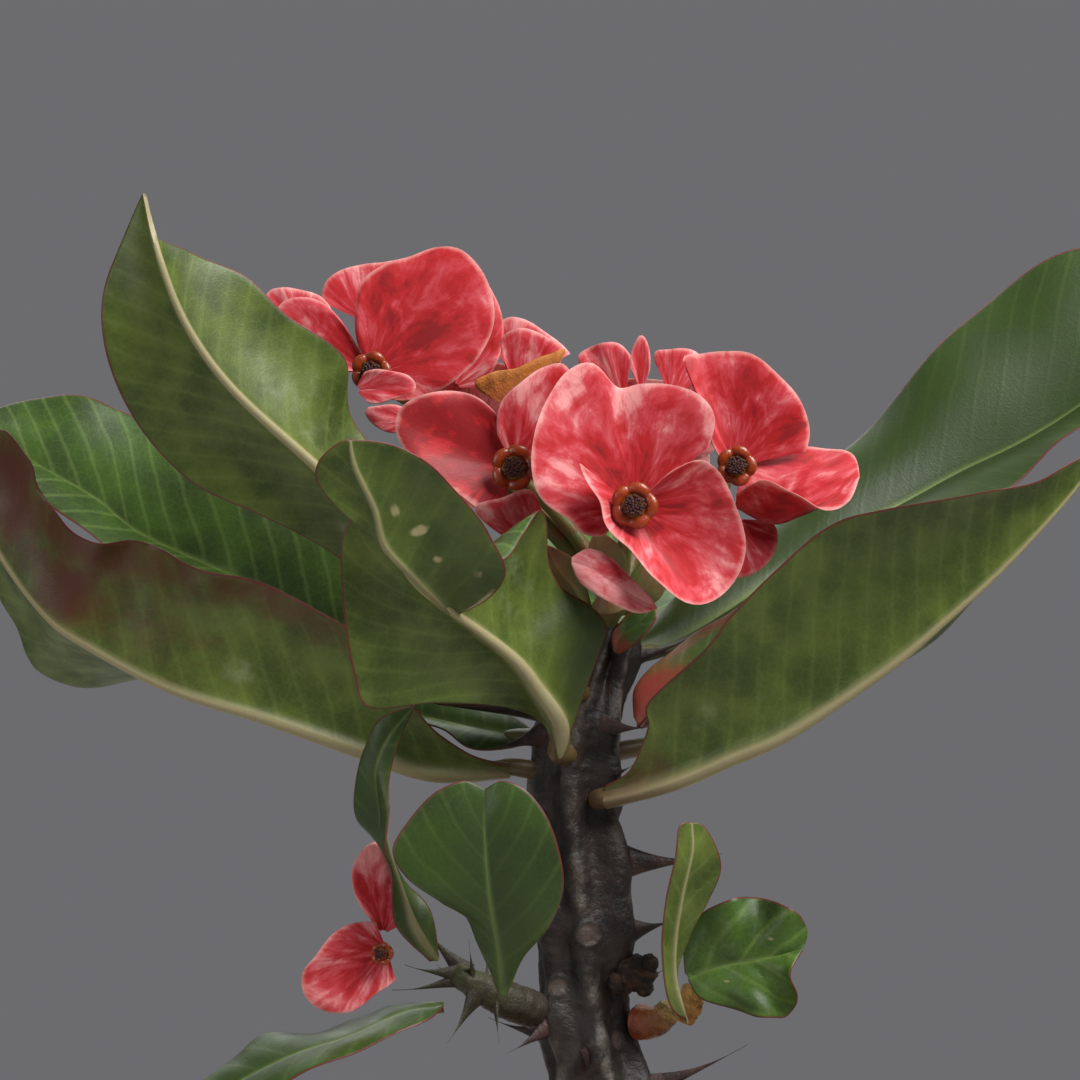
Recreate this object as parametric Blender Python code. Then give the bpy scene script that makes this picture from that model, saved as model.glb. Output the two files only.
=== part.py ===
"""A potted crown-of-thorns euphorbia: a ribbed, thorny stem in a clay pot, with folded leaves and bracts.

Metres, +Z up. The origin is the middle of the pot's foot, and the plant's flowers face -Y.
Guide points are whole or half millimetres, as (right, back, up); MM turns them into metres.
The plant's guide points are drawn with the potting mix at a height of SOIL_LINE and with a stem and
flower cups of the DRAWN_ sizes, and move with the pot, the stem and the cups when those change.
"""
from math import cos, pi, radians, sin

import bmesh
import bpy
import numpy as np
from mathutils import Vector

MM = 0.001

# ---- driving dimensions -------------------------------------------------------------------
POT_HEIGHT = 0.130
POT_TOP_RADIUS = 0.075
POT_FOOT_RADIUS = 0.052
POT_WALL = 0.006
POT_FLOOR = 0.009
RIM_HEIGHT = 0.022
RIM_OVERHANG = 0.004
DRAIN_RADIUS = 0.006
DRAIN_RING_RADIUS = 0.030
DRAIN_COUNT = 4
FOOT_BEVEL = 0.002
# The rolled rim's section in mm: out from the top radius, and up from the rim's foot.
RIM_LOWER_SECTION = [(-1.5, 1.0), (0, 3.5)]
# Out from the top radius and down from the rim's top, then out from the inner radius and down.
RIM_UPPER_SECTION = [(1.0, 3.0), (-1.0, 0.6), (-3.5, 0)]
RIM_INNER_SECTION = [(1.5, 0.6), (0, 2.5)]
SOIL_DROP = 0.020           # from the pot's rim down to the potting mix
SOIL_EDGE_DROP = 0.002      # from the top of the mix down to its edge at the pot's wall
SOIL_HEAP = [(45, 1.0), (25, 0.4)]      # the heap's radius and rise, in mm
SOCKET_EDGE_DROP = 0.0005
STEM_RADIUS = 0.0100        # the round core, without its ribs
STEM_DEPTH = 0.024          # how far the stem reaches into the potting mix
RIB_HEIGHT = 0.0009
LEAF_THICKNESS = 0.0009
BRACT_THICKNESS = 0.0006
BIG_STALK = 0.0030          # a crown leaf's thickness where it leaves the stem
FRONT_STALK = 0.0034
SMALL_STALK = 0.0016        # the same for young leaves and for leaves of the side shoots
FOLD_STALK = 0.0020
BRACT_STALK = 0.0008
CUP_RADIUS = 0.0048
CUP_HEIGHT = 0.0030
CUP_LIFT = 0.0042           # from the bracts' roots out to the cup's foot
LOW_CUP_RADIUS = 0.0024     # the small flower on the left side shoot
GAP = 0.0003                # between any two pieces that meet

# ---- sizes that the plant's guide points are drawn for --------------------------------------
SOIL_LINE = 0.110
DRAWN_STEM_RADIUS = 0.0100
DRAWN_CUP_RADIUS = 0.0048

# ---- how finely the surfaces are drawn ------------------------------------------------------
LEAF_STEPS = 11
BRACT_STEPS = 9
POT_SIDES = 40
STEM_SIDES = 18
TUBE_SIDES = 8
THORN_SIDES = 6
DRAIN_SIDES = 16
CUP_SIDES = 12
FAN_RINGS = 4
CURVE_FINENESS = 12         # straight pieces between two guide points
STEM_STEPS = 22
LEFT_SHOOT_STEPS = 6
RIGHT_SHOOT_STEPS = 5
STUB_STEPS = 4
STALK_STEPS = 8
BRANCH_STEPS = 7
SHARP_ANGLE = radians(50)
WELD_DISTANCE = 0.00002

# ---- how a leaf blade and a thorn taper, as shares ------------------------------------------
TIP_WIDTH = 0.12            # of the last full row across the blade
MARGIN_THICKNESS = 0.7      # of the blade's thickness
RIB_SWELL_END = 0.75        # of the blade's length, where the rib has thinned to the blade
STALK_SWELL_END = 0.25
THORN_DROOP = 0.04          # of the thorn's length
THORN_POINT = 0.00012
CUP_RINGS = [(1.0, 0.0), (1.0, 0.45), (0.80, 0.85), (0.35, 1.0)]    # shares of radius and height

# ---- colours, as linear red, green, blue --------------------------------------------------
CLAY = (0.42, 0.17, 0.09)
POTTING_MIX = (0.05, 0.032, 0.02)
BARK = (0.075, 0.056, 0.048)
DRIED = (0.30, 0.16, 0.06)
LEAF_GREEN = (0.070, 0.13, 0.040)
YOUNG_GREEN = (0.12, 0.21, 0.07)
CORAL = (0.74, 0.10, 0.10)
BLUSH = (0.82, 0.42, 0.38)
WILTED = (0.50, 0.20, 0.06)
NECTARY = (0.62, 0.12, 0.03)
STALK_GREEN = (0.14, 0.16, 0.05)


def start_clean():
    """Remove every object that the file opened with."""
    for item in list(bpy.data.objects):
        bpy.data.objects.remove(item, do_unlink=True)


def material(name, colour, roughness):
    """Return a non-metallic Principled material."""
    made = bpy.data.materials.new(name)
    made.use_nodes = True
    shader = made.node_tree.nodes["Principled BSDF"]
    shader.inputs["Base Color"].default_value = (*colour, 1.0)
    shader.inputs["Roughness"].default_value = roughness
    shader.inputs["Metallic"].default_value = 0.0
    return made


def add_object(name, mesh, look, place, parent):
    """Link a mesh as a named, smooth-shaded object at a place in its parent empty."""
    mesh.materials.append(look)
    mesh.shade_smooth()
    mesh.set_sharp_from_angle(angle=SHARP_ANGLE)
    item = bpy.data.objects.new(name, mesh)
    bpy.context.scene.collection.objects.link(item)
    item.parent = parent
    item.location = place
    return item


def add_empty(name, place, parent=None):
    """Link an empty that holds pieces of the plant."""
    holder = bpy.data.objects.new(name, None)
    bpy.context.scene.collection.objects.link(holder)
    holder.parent = parent
    holder.location = place
    return holder


def closed_mesh(name, points, faces):
    """Return a mesh from points and faces, with its faces turned outwards."""
    mesh = bpy.data.meshes.new(name)
    mesh.from_pydata([tuple(p) for p in points], [], faces)
    shape = bmesh.new()
    shape.from_mesh(mesh)
    bmesh.ops.recalc_face_normals(shape, faces=shape.faces)
    shape.to_mesh(mesh)
    shape.free()
    return mesh


# ---- curves and thin shells ------------------------------------------------------------------
def smooth_curve(guides, count):
    """Return count + 1 points, evenly spaced in length, on a smooth curve through the guides."""
    guides = [Vector(g) for g in guides]
    dense = []
    last = len(guides) - 1
    for i in range(last):
        before = guides[max(i - 1, 0)]
        after = guides[min(i + 2, last)]
        start, end = guides[i], guides[i + 1]
        for k in range(CURVE_FINENESS):
            t = k / CURVE_FINENESS
            pull = 0.5 * ((end - before) * t * (1 - t) ** 2 - (after - start) * t * t * (1 - t))
            dense.append(start.lerp(end, t * t * (3 - 2 * t)) + pull)
    dense.append(guides[last])
    lengths = [0.0]
    for one, two in zip(dense, dense[1:]):
        lengths.append(lengths[-1] + (two - one).length)
    points = []
    k = 0
    for i in range(count + 1):
        want = lengths[-1] * i / count
        while k < len(dense) - 2 and lengths[k + 1] < want:
            k += 1
        step = max(lengths[k + 1] - lengths[k], 1e-9)
        points.append(dense[k].lerp(dense[k + 1], min(max((want - lengths[k]) / step, 0.0), 1.0)))
    return points


def sheet_normals(rows):
    """Return the unit normal at each point of a grid of points."""
    tall, wide = len(rows), len(rows[0])
    normals = []
    for i in range(tall):
        line = []
        for j in range(wide):
            along = rows[min(i + 1, tall - 1)][j] - rows[max(i - 1, 0)][j]
            across = rows[i][min(j + 1, wide - 1)] - rows[i][max(j - 1, 0)]
            normal = along.cross(across)
            line.append(normal.normalized() if normal.length > 1e-12 else Vector((0, 0, 1)))
        normals.append(line)
    return normals


def shell_mesh(name, rows, depths):
    """Return a closed thin shell: the grid is its upper face, and depths reach down below it."""
    tall, wide = len(rows), len(rows[0])
    normals = sheet_normals(rows)
    points = [p for row in rows for p in row]
    points += [rows[i][j] - normals[i][j] * depths[i][j] for i in range(tall) for j in range(wide)]
    under = tall * wide
    faces = []
    for i in range(tall - 1):
        for j in range(wide - 1):
            a, b, c, d = i * wide + j, i * wide + j + 1, (i + 1) * wide + j + 1, (i + 1) * wide + j
            faces += [(a, b, c), (a, c, d)]
            faces += [(under + c, under + b, under + a), (under + d, under + c, under + a)]
    border = [j for j in range(wide)]
    border += [i * wide + wide - 1 for i in range(1, tall)]
    border += [(tall - 1) * wide + j for j in range(wide - 2, -1, -1)]
    border += [i * wide for i in range(tall - 2, 0, -1)]
    for one, two in zip(border, border[1:] + border[:1]):
        faces += [(one, under + one, under + two), (one, under + two, two)]
    return closed_mesh(name, points, faces)


def blade_rows(rib, near, far, steps):
    """Return the grid of a leaf blade from its rib and its two margins, five points across."""
    middle = smooth_curve([Vector(p) * MM for p in rib], steps)
    one = smooth_curve([Vector(p) * MM for p in near], steps)
    two = smooth_curve([Vector(p) * MM for p in far], steps)
    rows = []
    for m, a, b in zip(middle, one, two):
        rows.append([a, a.lerp(m, 0.5), m, b.lerp(m, 0.5), b])
    tip = rows[-1][2]
    before = rows[-2]
    rows[-1] = [tip + (p - before[2]) * TIP_WIDTH for p in before]
    return rows


def blade_depths(steps, thickness, stalk):
    """Return shell depths: thick at the stalk and along the rib, thin at the margins."""
    depths = []
    for i in range(steps + 1):
        u = i / steps
        rib = thickness + (stalk - thickness) * max(1 - u / RIB_SWELL_END, 0.0) ** 2
        half = thickness + (stalk - thickness) * 0.5 * max(1 - u / STALK_SWELL_END, 0.0) ** 2
        margin = thickness * MARGIN_THICKNESS
        depths.append([margin, half, rib, half, margin])
    return depths


def leaf(name, place, rails, look, parent, stalk):
    """Build one leaf at a place in metres, from its rib and its two margins in mm."""
    rows = blade_rows(*rails, LEAF_STEPS)
    mesh = shell_mesh(name, rows, blade_depths(LEAF_STEPS, LEAF_THICKNESS, stalk))
    return add_object(name, mesh, look, place, parent)


def facing_frame(turn, rise):
    """Return right, up and outward directions for a flower turned from -Y and tilted up."""
    outward = Vector((sin(turn) * cos(rise), -cos(turn) * cos(rise), sin(rise)))
    right = Vector((cos(turn), sin(turn), 0))
    return right, outward.cross(right), outward


def bract(name, place, rim, look, parent, turn=0, rise=0, inner=1.5, seat=0.0, cup=1.5, spare=0.0):
    """Build one bract as a fan round a place in mm.

    Rim points are (angle in degrees, reach mm, lift mm). Each spoke climbs from seat to its rim's
    lift by the power cup, and spare moves every spoke outwards, in metres, to clear a wider cup.
    """
    right, up, outward = facing_frame(radians(turn), radians(rise))
    rows = []
    for angle, reach, lift in smooth_curve(rim, BRACT_STEPS):
        way = right * cos(radians(angle)) + up * sin(radians(angle))
        row = []
        for k in range(FAN_RINGS):
            share = k / (FAN_RINGS - 1)
            spread = inner + (reach - inner) * share
            height = seat + (lift - seat) * share ** cup
            row.append((way * spread + outward * height) * MM + way * spare)
        rows.append(row)
    depths = [[BRACT_THICKNESS] * FAN_RINGS for _ in rows]
    return add_object(name, shell_mesh(name, rows, depths), look, Vector(place) * MM, parent)


# ---- round and tubular shapes -----------------------------------------------------------------
def turned_mesh(name, outline, sides):
    """Spin a closed outline of (radius, height) points round Z."""
    shape = bmesh.new()
    ring = [shape.verts.new((r, 0, z)) for r, z in outline]
    edges = [shape.edges.new((a, b)) for a, b in zip(ring, ring[1:] + ring[:1])]
    bmesh.ops.spin(shape, geom=ring + edges, axis=(0, 0, 1), cent=(0, 0, 0), angle=2 * pi,
                   steps=sides, use_merge=True, use_duplicate=False)
    bmesh.ops.remove_doubles(shape, verts=shape.verts, dist=WELD_DISTANCE)
    bmesh.ops.dissolve_degenerate(shape, dist=WELD_DISTANCE / 2, edges=shape.edges)
    bmesh.ops.triangulate(shape, faces=shape.faces)
    bmesh.ops.recalc_face_normals(shape, faces=shape.faces)
    mesh = bpy.data.meshes.new(name)
    shape.to_mesh(mesh)
    shape.free()
    return mesh


def tube_mesh(name, path, radii, sides, ribs=0, rib_height=0.0, twist=0.0):
    """Sweep a round or ribbed section along a path, with flat ends."""
    points, faces = [], []
    last = len(path) - 1
    side = Vector((1, 0, 0))
    for i, centre in enumerate(path):
        way = (path[min(i + 1, last)] - path[max(i - 1, 0)]).normalized()
        side = (side - way * side.dot(way)).normalized()
        other = way.cross(side)
        for j in range(sides):
            angle = 2 * pi * j / sides
            radius = radii[i] + rib_height * sin(ribs * angle + twist * i)
            points.append(centre + (side * cos(angle) + other * sin(angle)) * radius)
    for i in range(last):
        for j in range(sides):
            a, b = i * sides + j, i * sides + (j + 1) % sides
            faces.append((a, b, b + sides, a + sides))
    faces.append(tuple(reversed(range(sides))))
    faces.append(tuple(range(last * sides, (last + 1) * sides)))
    return closed_mesh(name, points, faces)


def thorn_mesh(name, root, tip, width):
    """Return one thorn, in metres: a broad foot drawn out to a fine, slightly bent point."""
    droop = Vector((0, 0, -THORN_DROOP * (tip - root).length))
    path = [root, root.lerp(tip, 0.30), root.lerp(tip, 0.60) + droop, tip]
    radii = [width, width * 0.42, width * 0.17, THORN_POINT]
    return tube_mesh(name, path, radii, THORN_SIDES)


def dome_mesh(name, way, radius, height):
    """Return a low dome that stands on its flat foot at the origin and points along a direction."""
    path = [way.normalized() * height * up for _, up in CUP_RINGS]
    return tube_mesh(name, path, [radius * wide for wide, _ in CUP_RINGS], CUP_SIDES)


def unite(target, meshes):
    """Join closed meshes to an object, one exact Boolean union for each."""
    for mesh in meshes:
        tool = bpy.data.objects.new("tool", mesh)
        bpy.context.scene.collection.objects.link(tool)
        tool.parent = target.parent
        tool.location = target.location
        join = target.modifiers.new("join", "BOOLEAN")
        join.operation = "UNION"
        join.object = tool
        bpy.context.view_layer.update()
        seen = target.evaluated_get(bpy.context.evaluated_depsgraph_get())
        merged = bpy.data.meshes.new_from_object(seen)
        target.modifiers.clear()
        target.data = merged
        bpy.data.objects.remove(tool)


def cut(target, meshes):
    """Cut closed meshes, each placed in world space, out of an object."""
    for mesh in meshes:
        tool = bpy.data.objects.new("cutter", mesh)
        bpy.context.scene.collection.objects.link(tool)
        trim = target.modifiers.new("trim", "BOOLEAN")
        trim.operation = "DIFFERENCE"
        trim.object = tool
        bpy.context.view_layer.update()
        seen = target.evaluated_get(bpy.context.evaluated_depsgraph_get())
        trimmed = bpy.data.meshes.new_from_object(seen)
        target.modifiers.clear()
        target.data = trimmed
        bpy.data.objects.remove(tool)


# ---- pot and potting mix ------------------------------------------------------------------------
def pot_radius(height):
    """Return the pot body's outer radius at a height."""
    share = min(max(height / (POT_HEIGHT - RIM_HEIGHT), 0.0), 1.0)
    return POT_FOOT_RADIUS + (POT_TOP_RADIUS - RIM_OVERHANG - POT_FOOT_RADIUS) * share


def inner_radius(height):
    """Return the pot's inner radius at a height: one straight taper up to the rim."""
    foot = pot_radius(POT_FLOOR) - POT_WALL
    top = POT_TOP_RADIUS - RIM_OVERHANG - POT_WALL
    return foot + (top - foot) * (height - POT_FLOOR) / (POT_HEIGHT - POT_FLOOR)


def build_pot(parent):
    """Build the clay pot with a rolled rim and drain holes round a solid middle."""
    rim_foot = POT_HEIGHT - RIM_HEIGHT
    outline = [(0, 0), (POT_FOOT_RADIUS - FOOT_BEVEL, 0), (POT_FOOT_RADIUS, FOOT_BEVEL)]
    outline += [(pot_radius(rim_foot), rim_foot)]
    outline += [(POT_TOP_RADIUS + out * MM, rim_foot + up * MM) for out, up in RIM_LOWER_SECTION]
    outline += [(POT_TOP_RADIUS + out * MM, POT_HEIGHT - down * MM) for out, down in RIM_UPPER_SECTION]
    mouth = inner_radius(POT_HEIGHT)
    outline += [(mouth + out * MM, POT_HEIGHT - down * MM) for out, down in RIM_INNER_SECTION]
    outline += [(inner_radius(POT_FLOOR), POT_FLOOR), (0, POT_FLOOR)]
    pot = add_object("pot", turned_mesh("pot", outline, POT_SIDES),
                     material("clay", CLAY, 0.85), (0, 0, 0), parent)
    holes = []
    for k in range(DRAIN_COUNT):
        angle = 2 * pi * (k + 0.5) / DRAIN_COUNT
        foot = Vector((cos(angle), sin(angle), 0)) * DRAIN_RING_RADIUS
        path = [foot + Vector((0, 0, -POT_FLOOR)), foot + Vector((0, 0, 2 * POT_FLOOR))]
        holes.append(tube_mesh("drain", path, [DRAIN_RADIUS] * 2, DRAIN_SIDES))
    cut(pot, holes)


def soil_top():
    """Return the height of the potting mix."""
    return POT_HEIGHT - SOIL_DROP


def build_soil(parent):
    """Build the potting mix, heaped a little, with a socket for the stem."""
    top, foot = soil_top(), POT_FLOOR + GAP
    socket_foot = top - STEM_DEPTH - GAP
    socket = STEM_RADIUS + 2 * RIB_HEIGHT + GAP
    edge = top - SOIL_EDGE_DROP
    outline = [(0, foot), (inner_radius(foot) - GAP, foot), (inner_radius(edge) - GAP, edge)]
    outline += [(radius * MM, top + rise * MM) for radius, rise in SOIL_HEAP]
    outline += [(socket, top - SOCKET_EDGE_DROP)]
    outline += [(socket, socket_foot), (0, socket_foot)]
    add_object("potting_mix", turned_mesh("potting_mix", outline, POT_SIDES),
               material("potting_mix", POTTING_MIX, 0.95), (0, 0, 0), parent)


# ---- stem, side shoots and stalks ------------------------------------------------------------------
STEM_FOOT = (SOIL_LINE - STEM_DEPTH) / MM
STEM_PATH = [(0, 0, STEM_FOOT), (0, 0, 110), (1, 0, 150), (-1, 0, 192), (-4, 0, 212), (-6, 0, 238),
             (-7, 0, 262), (-4, 0, 278), (1, 0, 291), (4, 1, 300)]
STEM_WIDTHS = [1.0, 1.0, 1.03, 1.03, 0.96, 0.98, 1.02, 0.86, 0.58, 0.40]    # shares of STEM_RADIUS
STEM_RIBS = 6
STEM_TWIST = 0.28           # of the ribs, in radians from each step to the next
# Each thorn: foot, tip and foot radius.
THORNS = [
    ((0, -4, 243), (29, -4, 245), 4.2), ((2, -5, 226), (19, -6, 230), 4.6),
    ((4, -4, 187), (35, -8, 200), 3.6), ((-6, -6, 184), (-33, -14, 192), 3.2),
    ((-9, 3, 280), (-42, 4, 281), 3.4), ((-10, -5, 275), (-27, -16, 271), 3.6),
    ((-2, -6, 276), (12, -15, 276), 3.6), ((2, 2, 290), (23, 3, 297), 3.2),
    ((0, -4, 263), (8, -13, 267), 2.8), ((-12, -5, 231), (-16, -19, 235), 3.4),
    ((-10, -6, 206), (-22, -15, 199), 3.2), ((-3, -7, 196), (-6, -24, 203), 3.2),
    ((-1, 2, 258), (19, 12, 262), 3.4), ((-5, 6, 268), (-2, 26, 272), 3.6),
    ((-10, 5, 250), (-24, 17, 254), 3.4), ((0, 6, 240), (9, 24, 243), 3.6),
    ((-8, 6, 226), (-13, 27, 230), 3.6), ((2, 5, 212), (18, 17, 216), 3.4),
    ((-8, 4, 200), (-27, 11, 204), 3.4), ((-2, 6, 188), (-1, 27, 192), 3.6),
    ((5, 4, 174), (22, 14, 178), 3.6), ((-5, 5, 172), (-20, 17, 177), 3.6),
    ((5, -4, 168), (24, -13, 173), 3.6), ((-5, -5, 166), (-18, -19, 171), 3.6),
    ((-5, 4, 152), (-22, 12, 156), 3.4), ((4, 6, 150), (11, 24, 154), 3.6),
    ((3, -6, 148), (6, -25, 153), 3.6), ((-6, -3, 144), (-26, -8, 148), 3.4),
]


def stem_width(height):
    """Return the stem's thickness at a height in metres, as a share of STEM_RADIUS."""
    return float(np.interp(height / MM, [p[2] for p in STEM_PATH], STEM_WIDTHS))


def beside_stem(place):
    """Return a place in mm as metres, moved out or in as far as the stem's surface has."""
    place = Vector(place) * MM
    heights = [p[2] for p in STEM_PATH]
    middle = [float(np.interp(place.z / MM, heights, [p[k] for p in STEM_PATH])) * MM for k in (0, 1)]
    away = Vector((place.x - middle[0], place.y - middle[1], 0)).normalized()
    return place + away * (STEM_RADIUS - DRAWN_STEM_RADIUS) * stem_width(place.z)


def build_stem(parent):
    """Build the ribbed stem with its broad-footed thorns as one grown piece."""
    path = smooth_curve([Vector(p) * MM for p in STEM_PATH], STEM_STEPS)
    radii = [STEM_RADIUS * stem_width(p.z) for p in path]
    mesh = tube_mesh("stem", path, radii, STEM_SIDES, STEM_RIBS, RIB_HEIGHT, STEM_TWIST)
    stem = add_object("stem", mesh, material("bark", BARK, 0.6), (0, 0, 0), parent)
    unite(stem, [thorn_mesh("thorn", beside_stem(foot), beside_stem(tip), width * MM)
                 for foot, tip, width in THORNS])


def tube_from(name, guides, radii, steps):
    """Return a plain tapering tube through guide points in mm, radii in mm."""
    path = smooth_curve([Vector(g) * MM for g in guides], steps)
    sizes = smooth_curve([(r, k, 0) for k, r in enumerate(radii)], steps)
    return tube_mesh(name, path, [s[0] * MM for s in sizes], TUBE_SIDES)


SHOOT_THORNS = [
    ((-32, -18, 218), (-44, -18, 232), 1.8), ((-33, -19, 218), (-46, -26, 221), 1.6),
    ((-32, -19, 217), (-49, -25, 215), 1.4), ((-29, -18, 214), (-36, -28, 203), 2.4),
    ((-25, -15, 212), (-24, -26, 203), 1.8), ((-30, -18, 216), (-31, -26, 227), 1.6),
    ((-27, -15, 214), (-27, -6, 223), 1.8), ((-31, -18, 216), (-39, -9, 219), 1.6),
]


LEFT_SHOOT = [(-15.5, -6.5, 208), (-22, -12, 211), (-29, -17, 215), (-35, -20, 219)]
LEFT_SHOOT_RADII = [4.5, 4.6, 4.0, 2.6]
RIGHT_SHOOT = [(8.7, -4, 205), (12, -6, 205), (15.5, -7, 207), (17, -7.5, 210)]
RIGHT_SHOOT_RADII = [4.2, 4.0, 3.4, 2.6]
DRIED_STUB = [(19.8, -3.5, 205), (21.5, -4, 209), (22, -4.5, 214)]
DRIED_STUB_RADII = [2.2, 3.0, 2.2]


def shoot_empty(name, root, parent):
    """Add the empty that holds a side shoot and what grows on it, moved as the stem's side moves."""
    return add_empty(name, beside_stem(root) - Vector(root) * MM, parent)


def build_shoots(left_side, right_side):
    """Build the two short side shoots and the dried stub on the right one."""
    bark = material("green_bark", STALK_GREEN, 0.6)
    left = tube_from("shoot_left", LEFT_SHOOT, LEFT_SHOOT_RADII, LEFT_SHOOT_STEPS)
    shoot = add_object("shoot_left", left, bark, (0, 0, 0), left_side)
    unite(shoot, [thorn_mesh("thorn", Vector(foot) * MM, Vector(tip) * MM, width * MM)
                  for foot, tip, width in SHOOT_THORNS])
    right = tube_from("shoot_right", RIGHT_SHOOT, RIGHT_SHOOT_RADII, RIGHT_SHOOT_STEPS)
    add_object("shoot_right", right, material("shoot_bark", NECTARY, 0.6), (0, 0, 0), right_side)
    stub = tube_from("dried_stub", DRIED_STUB, DRIED_STUB_RADII, STUB_STEPS)
    add_object("dried_stub", stub, material("dried_wood", DRIED, 0.8), (0, 0, 0), right_side)


# ---- leaves: place, rib, and the two margins, in mm from the place ------------------------------
BIG_LEAVES = {
    "leaf_upper_left": (
        (-5, -11, 284),
        [(0, 0, 0), (-25, -11, 22), (-46, -21, 39), (-62, -29, 54), (-79, -37, 70), (-89, -41, 84),
         (-95, -43, 99), (-99, -41, 115)],
        [(-2, 0, -2), (-31, -7, 13), (-58, -15, 32), (-75, -20, 43), (-91, -24, 50), (-102, -29, 62),
         (-108, -34, 80), (-108, -37, 96), (-99, -41, 115)],
        [(2, 0, 2), (-20, -5, 29), (-40, -9, 46), (-52, -13, 63), (-54, -19, 78), (-68, -25, 87),
         (-77, -31, 97), (-89, -36, 102), (-97, -40, 105), (-99, -41, 115)],
    ),
    "leaf_back_left": (
        (-15, 8, 282),
        [(0, 0, 0), (-24, 6, 7), (-48, 12, 16), (-73, 18, 28), (-98, 24, 39), (-110, 27, 48),
         (-124, 29, 56), (-142, 30, 67)],
        [(1, 1, 2), (-17, 16, 23), (-39, 26, 43), (-62, 32, 57), (-85, 36, 65), (-104, 38, 70),
         (-115, 38, 74), (-125, 37, 74), (-134, 34, 72), (-142, 30, 67)],
        [(-1, -1, -2), (-24, -4, -1), (-48, -2, 9), (-72, 2, 19), (-96, 8, 30), (-115, 16, 42),
         (-131, 23, 57), (-142, 30, 67)],
    ),
    "leaf_lower_left": (
        (-22, -7, 266),
        [(0, 0, 0), (-18, -5, -1), (-34, -7, 4), (-58, -8, 12), (-80, -8, 19), (-101, -7, 30),
         (-110, -6, 37), (-120, -4, 50), (-127, -2, 64), (-131, 1, 79)],
        [(0, 4, 0), (-19, 13, -1), (-39, 21, 4), (-61, 27, 12), (-81, 29, 18), (-94, 29, 19),
         (-113, 26, 20), (-119, 23, 25), (-120, 20, 35), (-126, 15, 49), (-129, 8, 64), (-131, 1, 79)],
        [(0, -3, 1), (-9, -8, 3), (-16, -11, 8), (-22, -13, 16), (-38, -16, 34), (-56, -17, 43),
         (-72, -20, 48), (-85, -15, 53), (-96, -19, 54), (-106, -13, 60), (-111, -10, 66),
         (-112, -11, 73), (-119, -5, 80), (-131, 1, 79)],
    ),
    "leaf_right_front": (
        (1, -11, 259),
        [(0, 0, 0), (16, -5, 4), (30, -10, 10), (43, -14, 16), (65, -19, 31), (78, -21, 42),
         (91, -22, 54), (104, -22, 68), (117, -20, 84)],
        [(0, -2, 3), (6, -6, 7), (10, -10, 17), (10, -12, 23), (23, -18, 36), (29, -21, 44),
         (39, -25, 54), (51, -29, 64), (63, -31, 68), (84, -31, 72), (98, -29, 74), (106, -27, 78),
         (117, -20, 84)],
        [(0, 2, -1), (20, 7, 6), (42, 13, 15), (64, 15, 27), (77, 13, 36), (86, 9, 45),
         (93, 3, 53), (102, -7, 67), (117, -20, 84)],
    ),
    "leaf_right_back": (
        (5, 7, 292),
        [(0, 0, 0), (15, 6, 4), (35, 14, 16), (55, 21, 29), (71, 26, 37), (86, 30, 45),
         (101, 33, 52), (116, 36, 61), (137, 38, 77), (157, 38, 98)],
        [(1, -2, -1), (14, -4, 1), (34, -4, 8), (53, 0, 18), (73, 6, 29), (95, 14, 41),
         (108, 19, 50), (119, 24, 59), (138, 31, 77), (157, 38, 98)],
        [(0, 2, 1), (13, 16, 13), (33, 28, 29), (47, 34, 41), (59, 38, 52), (71, 42, 65),
         (87, 46, 82), (104, 48, 96), (118, 48, 102), (138, 44, 105), (157, 38, 98)],
    ),
    "leaf_back_low": (
        (-16, 11, 272),
        [(0, 0, 0), (-16, 15, 2), (-33, 31, 5), (-54, 45, 10), (-76, 57, 16)],
        [(1, 1, 1), (-16, 25, 11), (-34, 41, 16), (-55, 53, 18), (-76, 57, 16)],
        [(0, -1, -1), (-7, 4, -3), (-16, 9, -3), (-23, 17, 1), (-33, 25, 3), (-54, 39, 5), (-76, 57, 16)],
    ),
    "leaf_behind": (
        (-1, 13, 284),
        [(0, 0, 0), (3, 22, 8), (6, 50, 22), (5, 78, 40), (2, 100, 62)],
        [(2, 0, 1), (18, 22, 12), (31, 50, 27), (24, 80, 44), (2, 100, 62)],
        [(-2, 0, 1), (-13, 22, 14), (-21, 50, 30), (-17, 80, 46), (2, 100, 62)],
    ),
    "leaf_behind_right": (
        (11, 10, 270),
        [(0, 0, 0), (19, 14, 3), (44, 32, 12), (68, 52, 26), (86, 70, 46)],
        [(1, -1, 0), (28, 4, 8), (58, 17, 19), (80, 40, 32), (86, 70, 46)],
        [(-1, 1, 0), (10, 24, 9), (28, 46, 21), (53, 64, 33), (86, 70, 46)],
    ),
}
YOUNG_LEAVES = {
    "leaf_young_right": (
        (9, -5, 276),
        [(0, 0, 0), (5, -2, 3), (15, -5, 12), (29, -7, 23), (43, -8, 36)],
        [(0, -2, -1), (4, -7, 5), (9, -10, 9), (19, -13, 20), (30, -13, 32), (43, -8, 36)],
        [(-1, 1, 2), (-1, 3, 8), (3, 5, 13), (9, 6, 18), (21, 5, 26), (33, 1, 32), (43, -8, 36)],
    ),
    "leaf_young_inner": (
        (4, -6, 293),
        [(0, 0, 0), (1, -1, 4), (5, -3, 7), (9, -4, 11)],
        [(1, -1, 0), (5, -5, 3), (9, -6, 8), (9, -4, 11)],
        [(-1, 0, 1), (-1, -1, 5), (3, -2, 10), (7, -3, 12), (9, -4, 11)],
    ),
}
FRONT_LEAF_PLACE = (-10, -15, 270)
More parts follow.
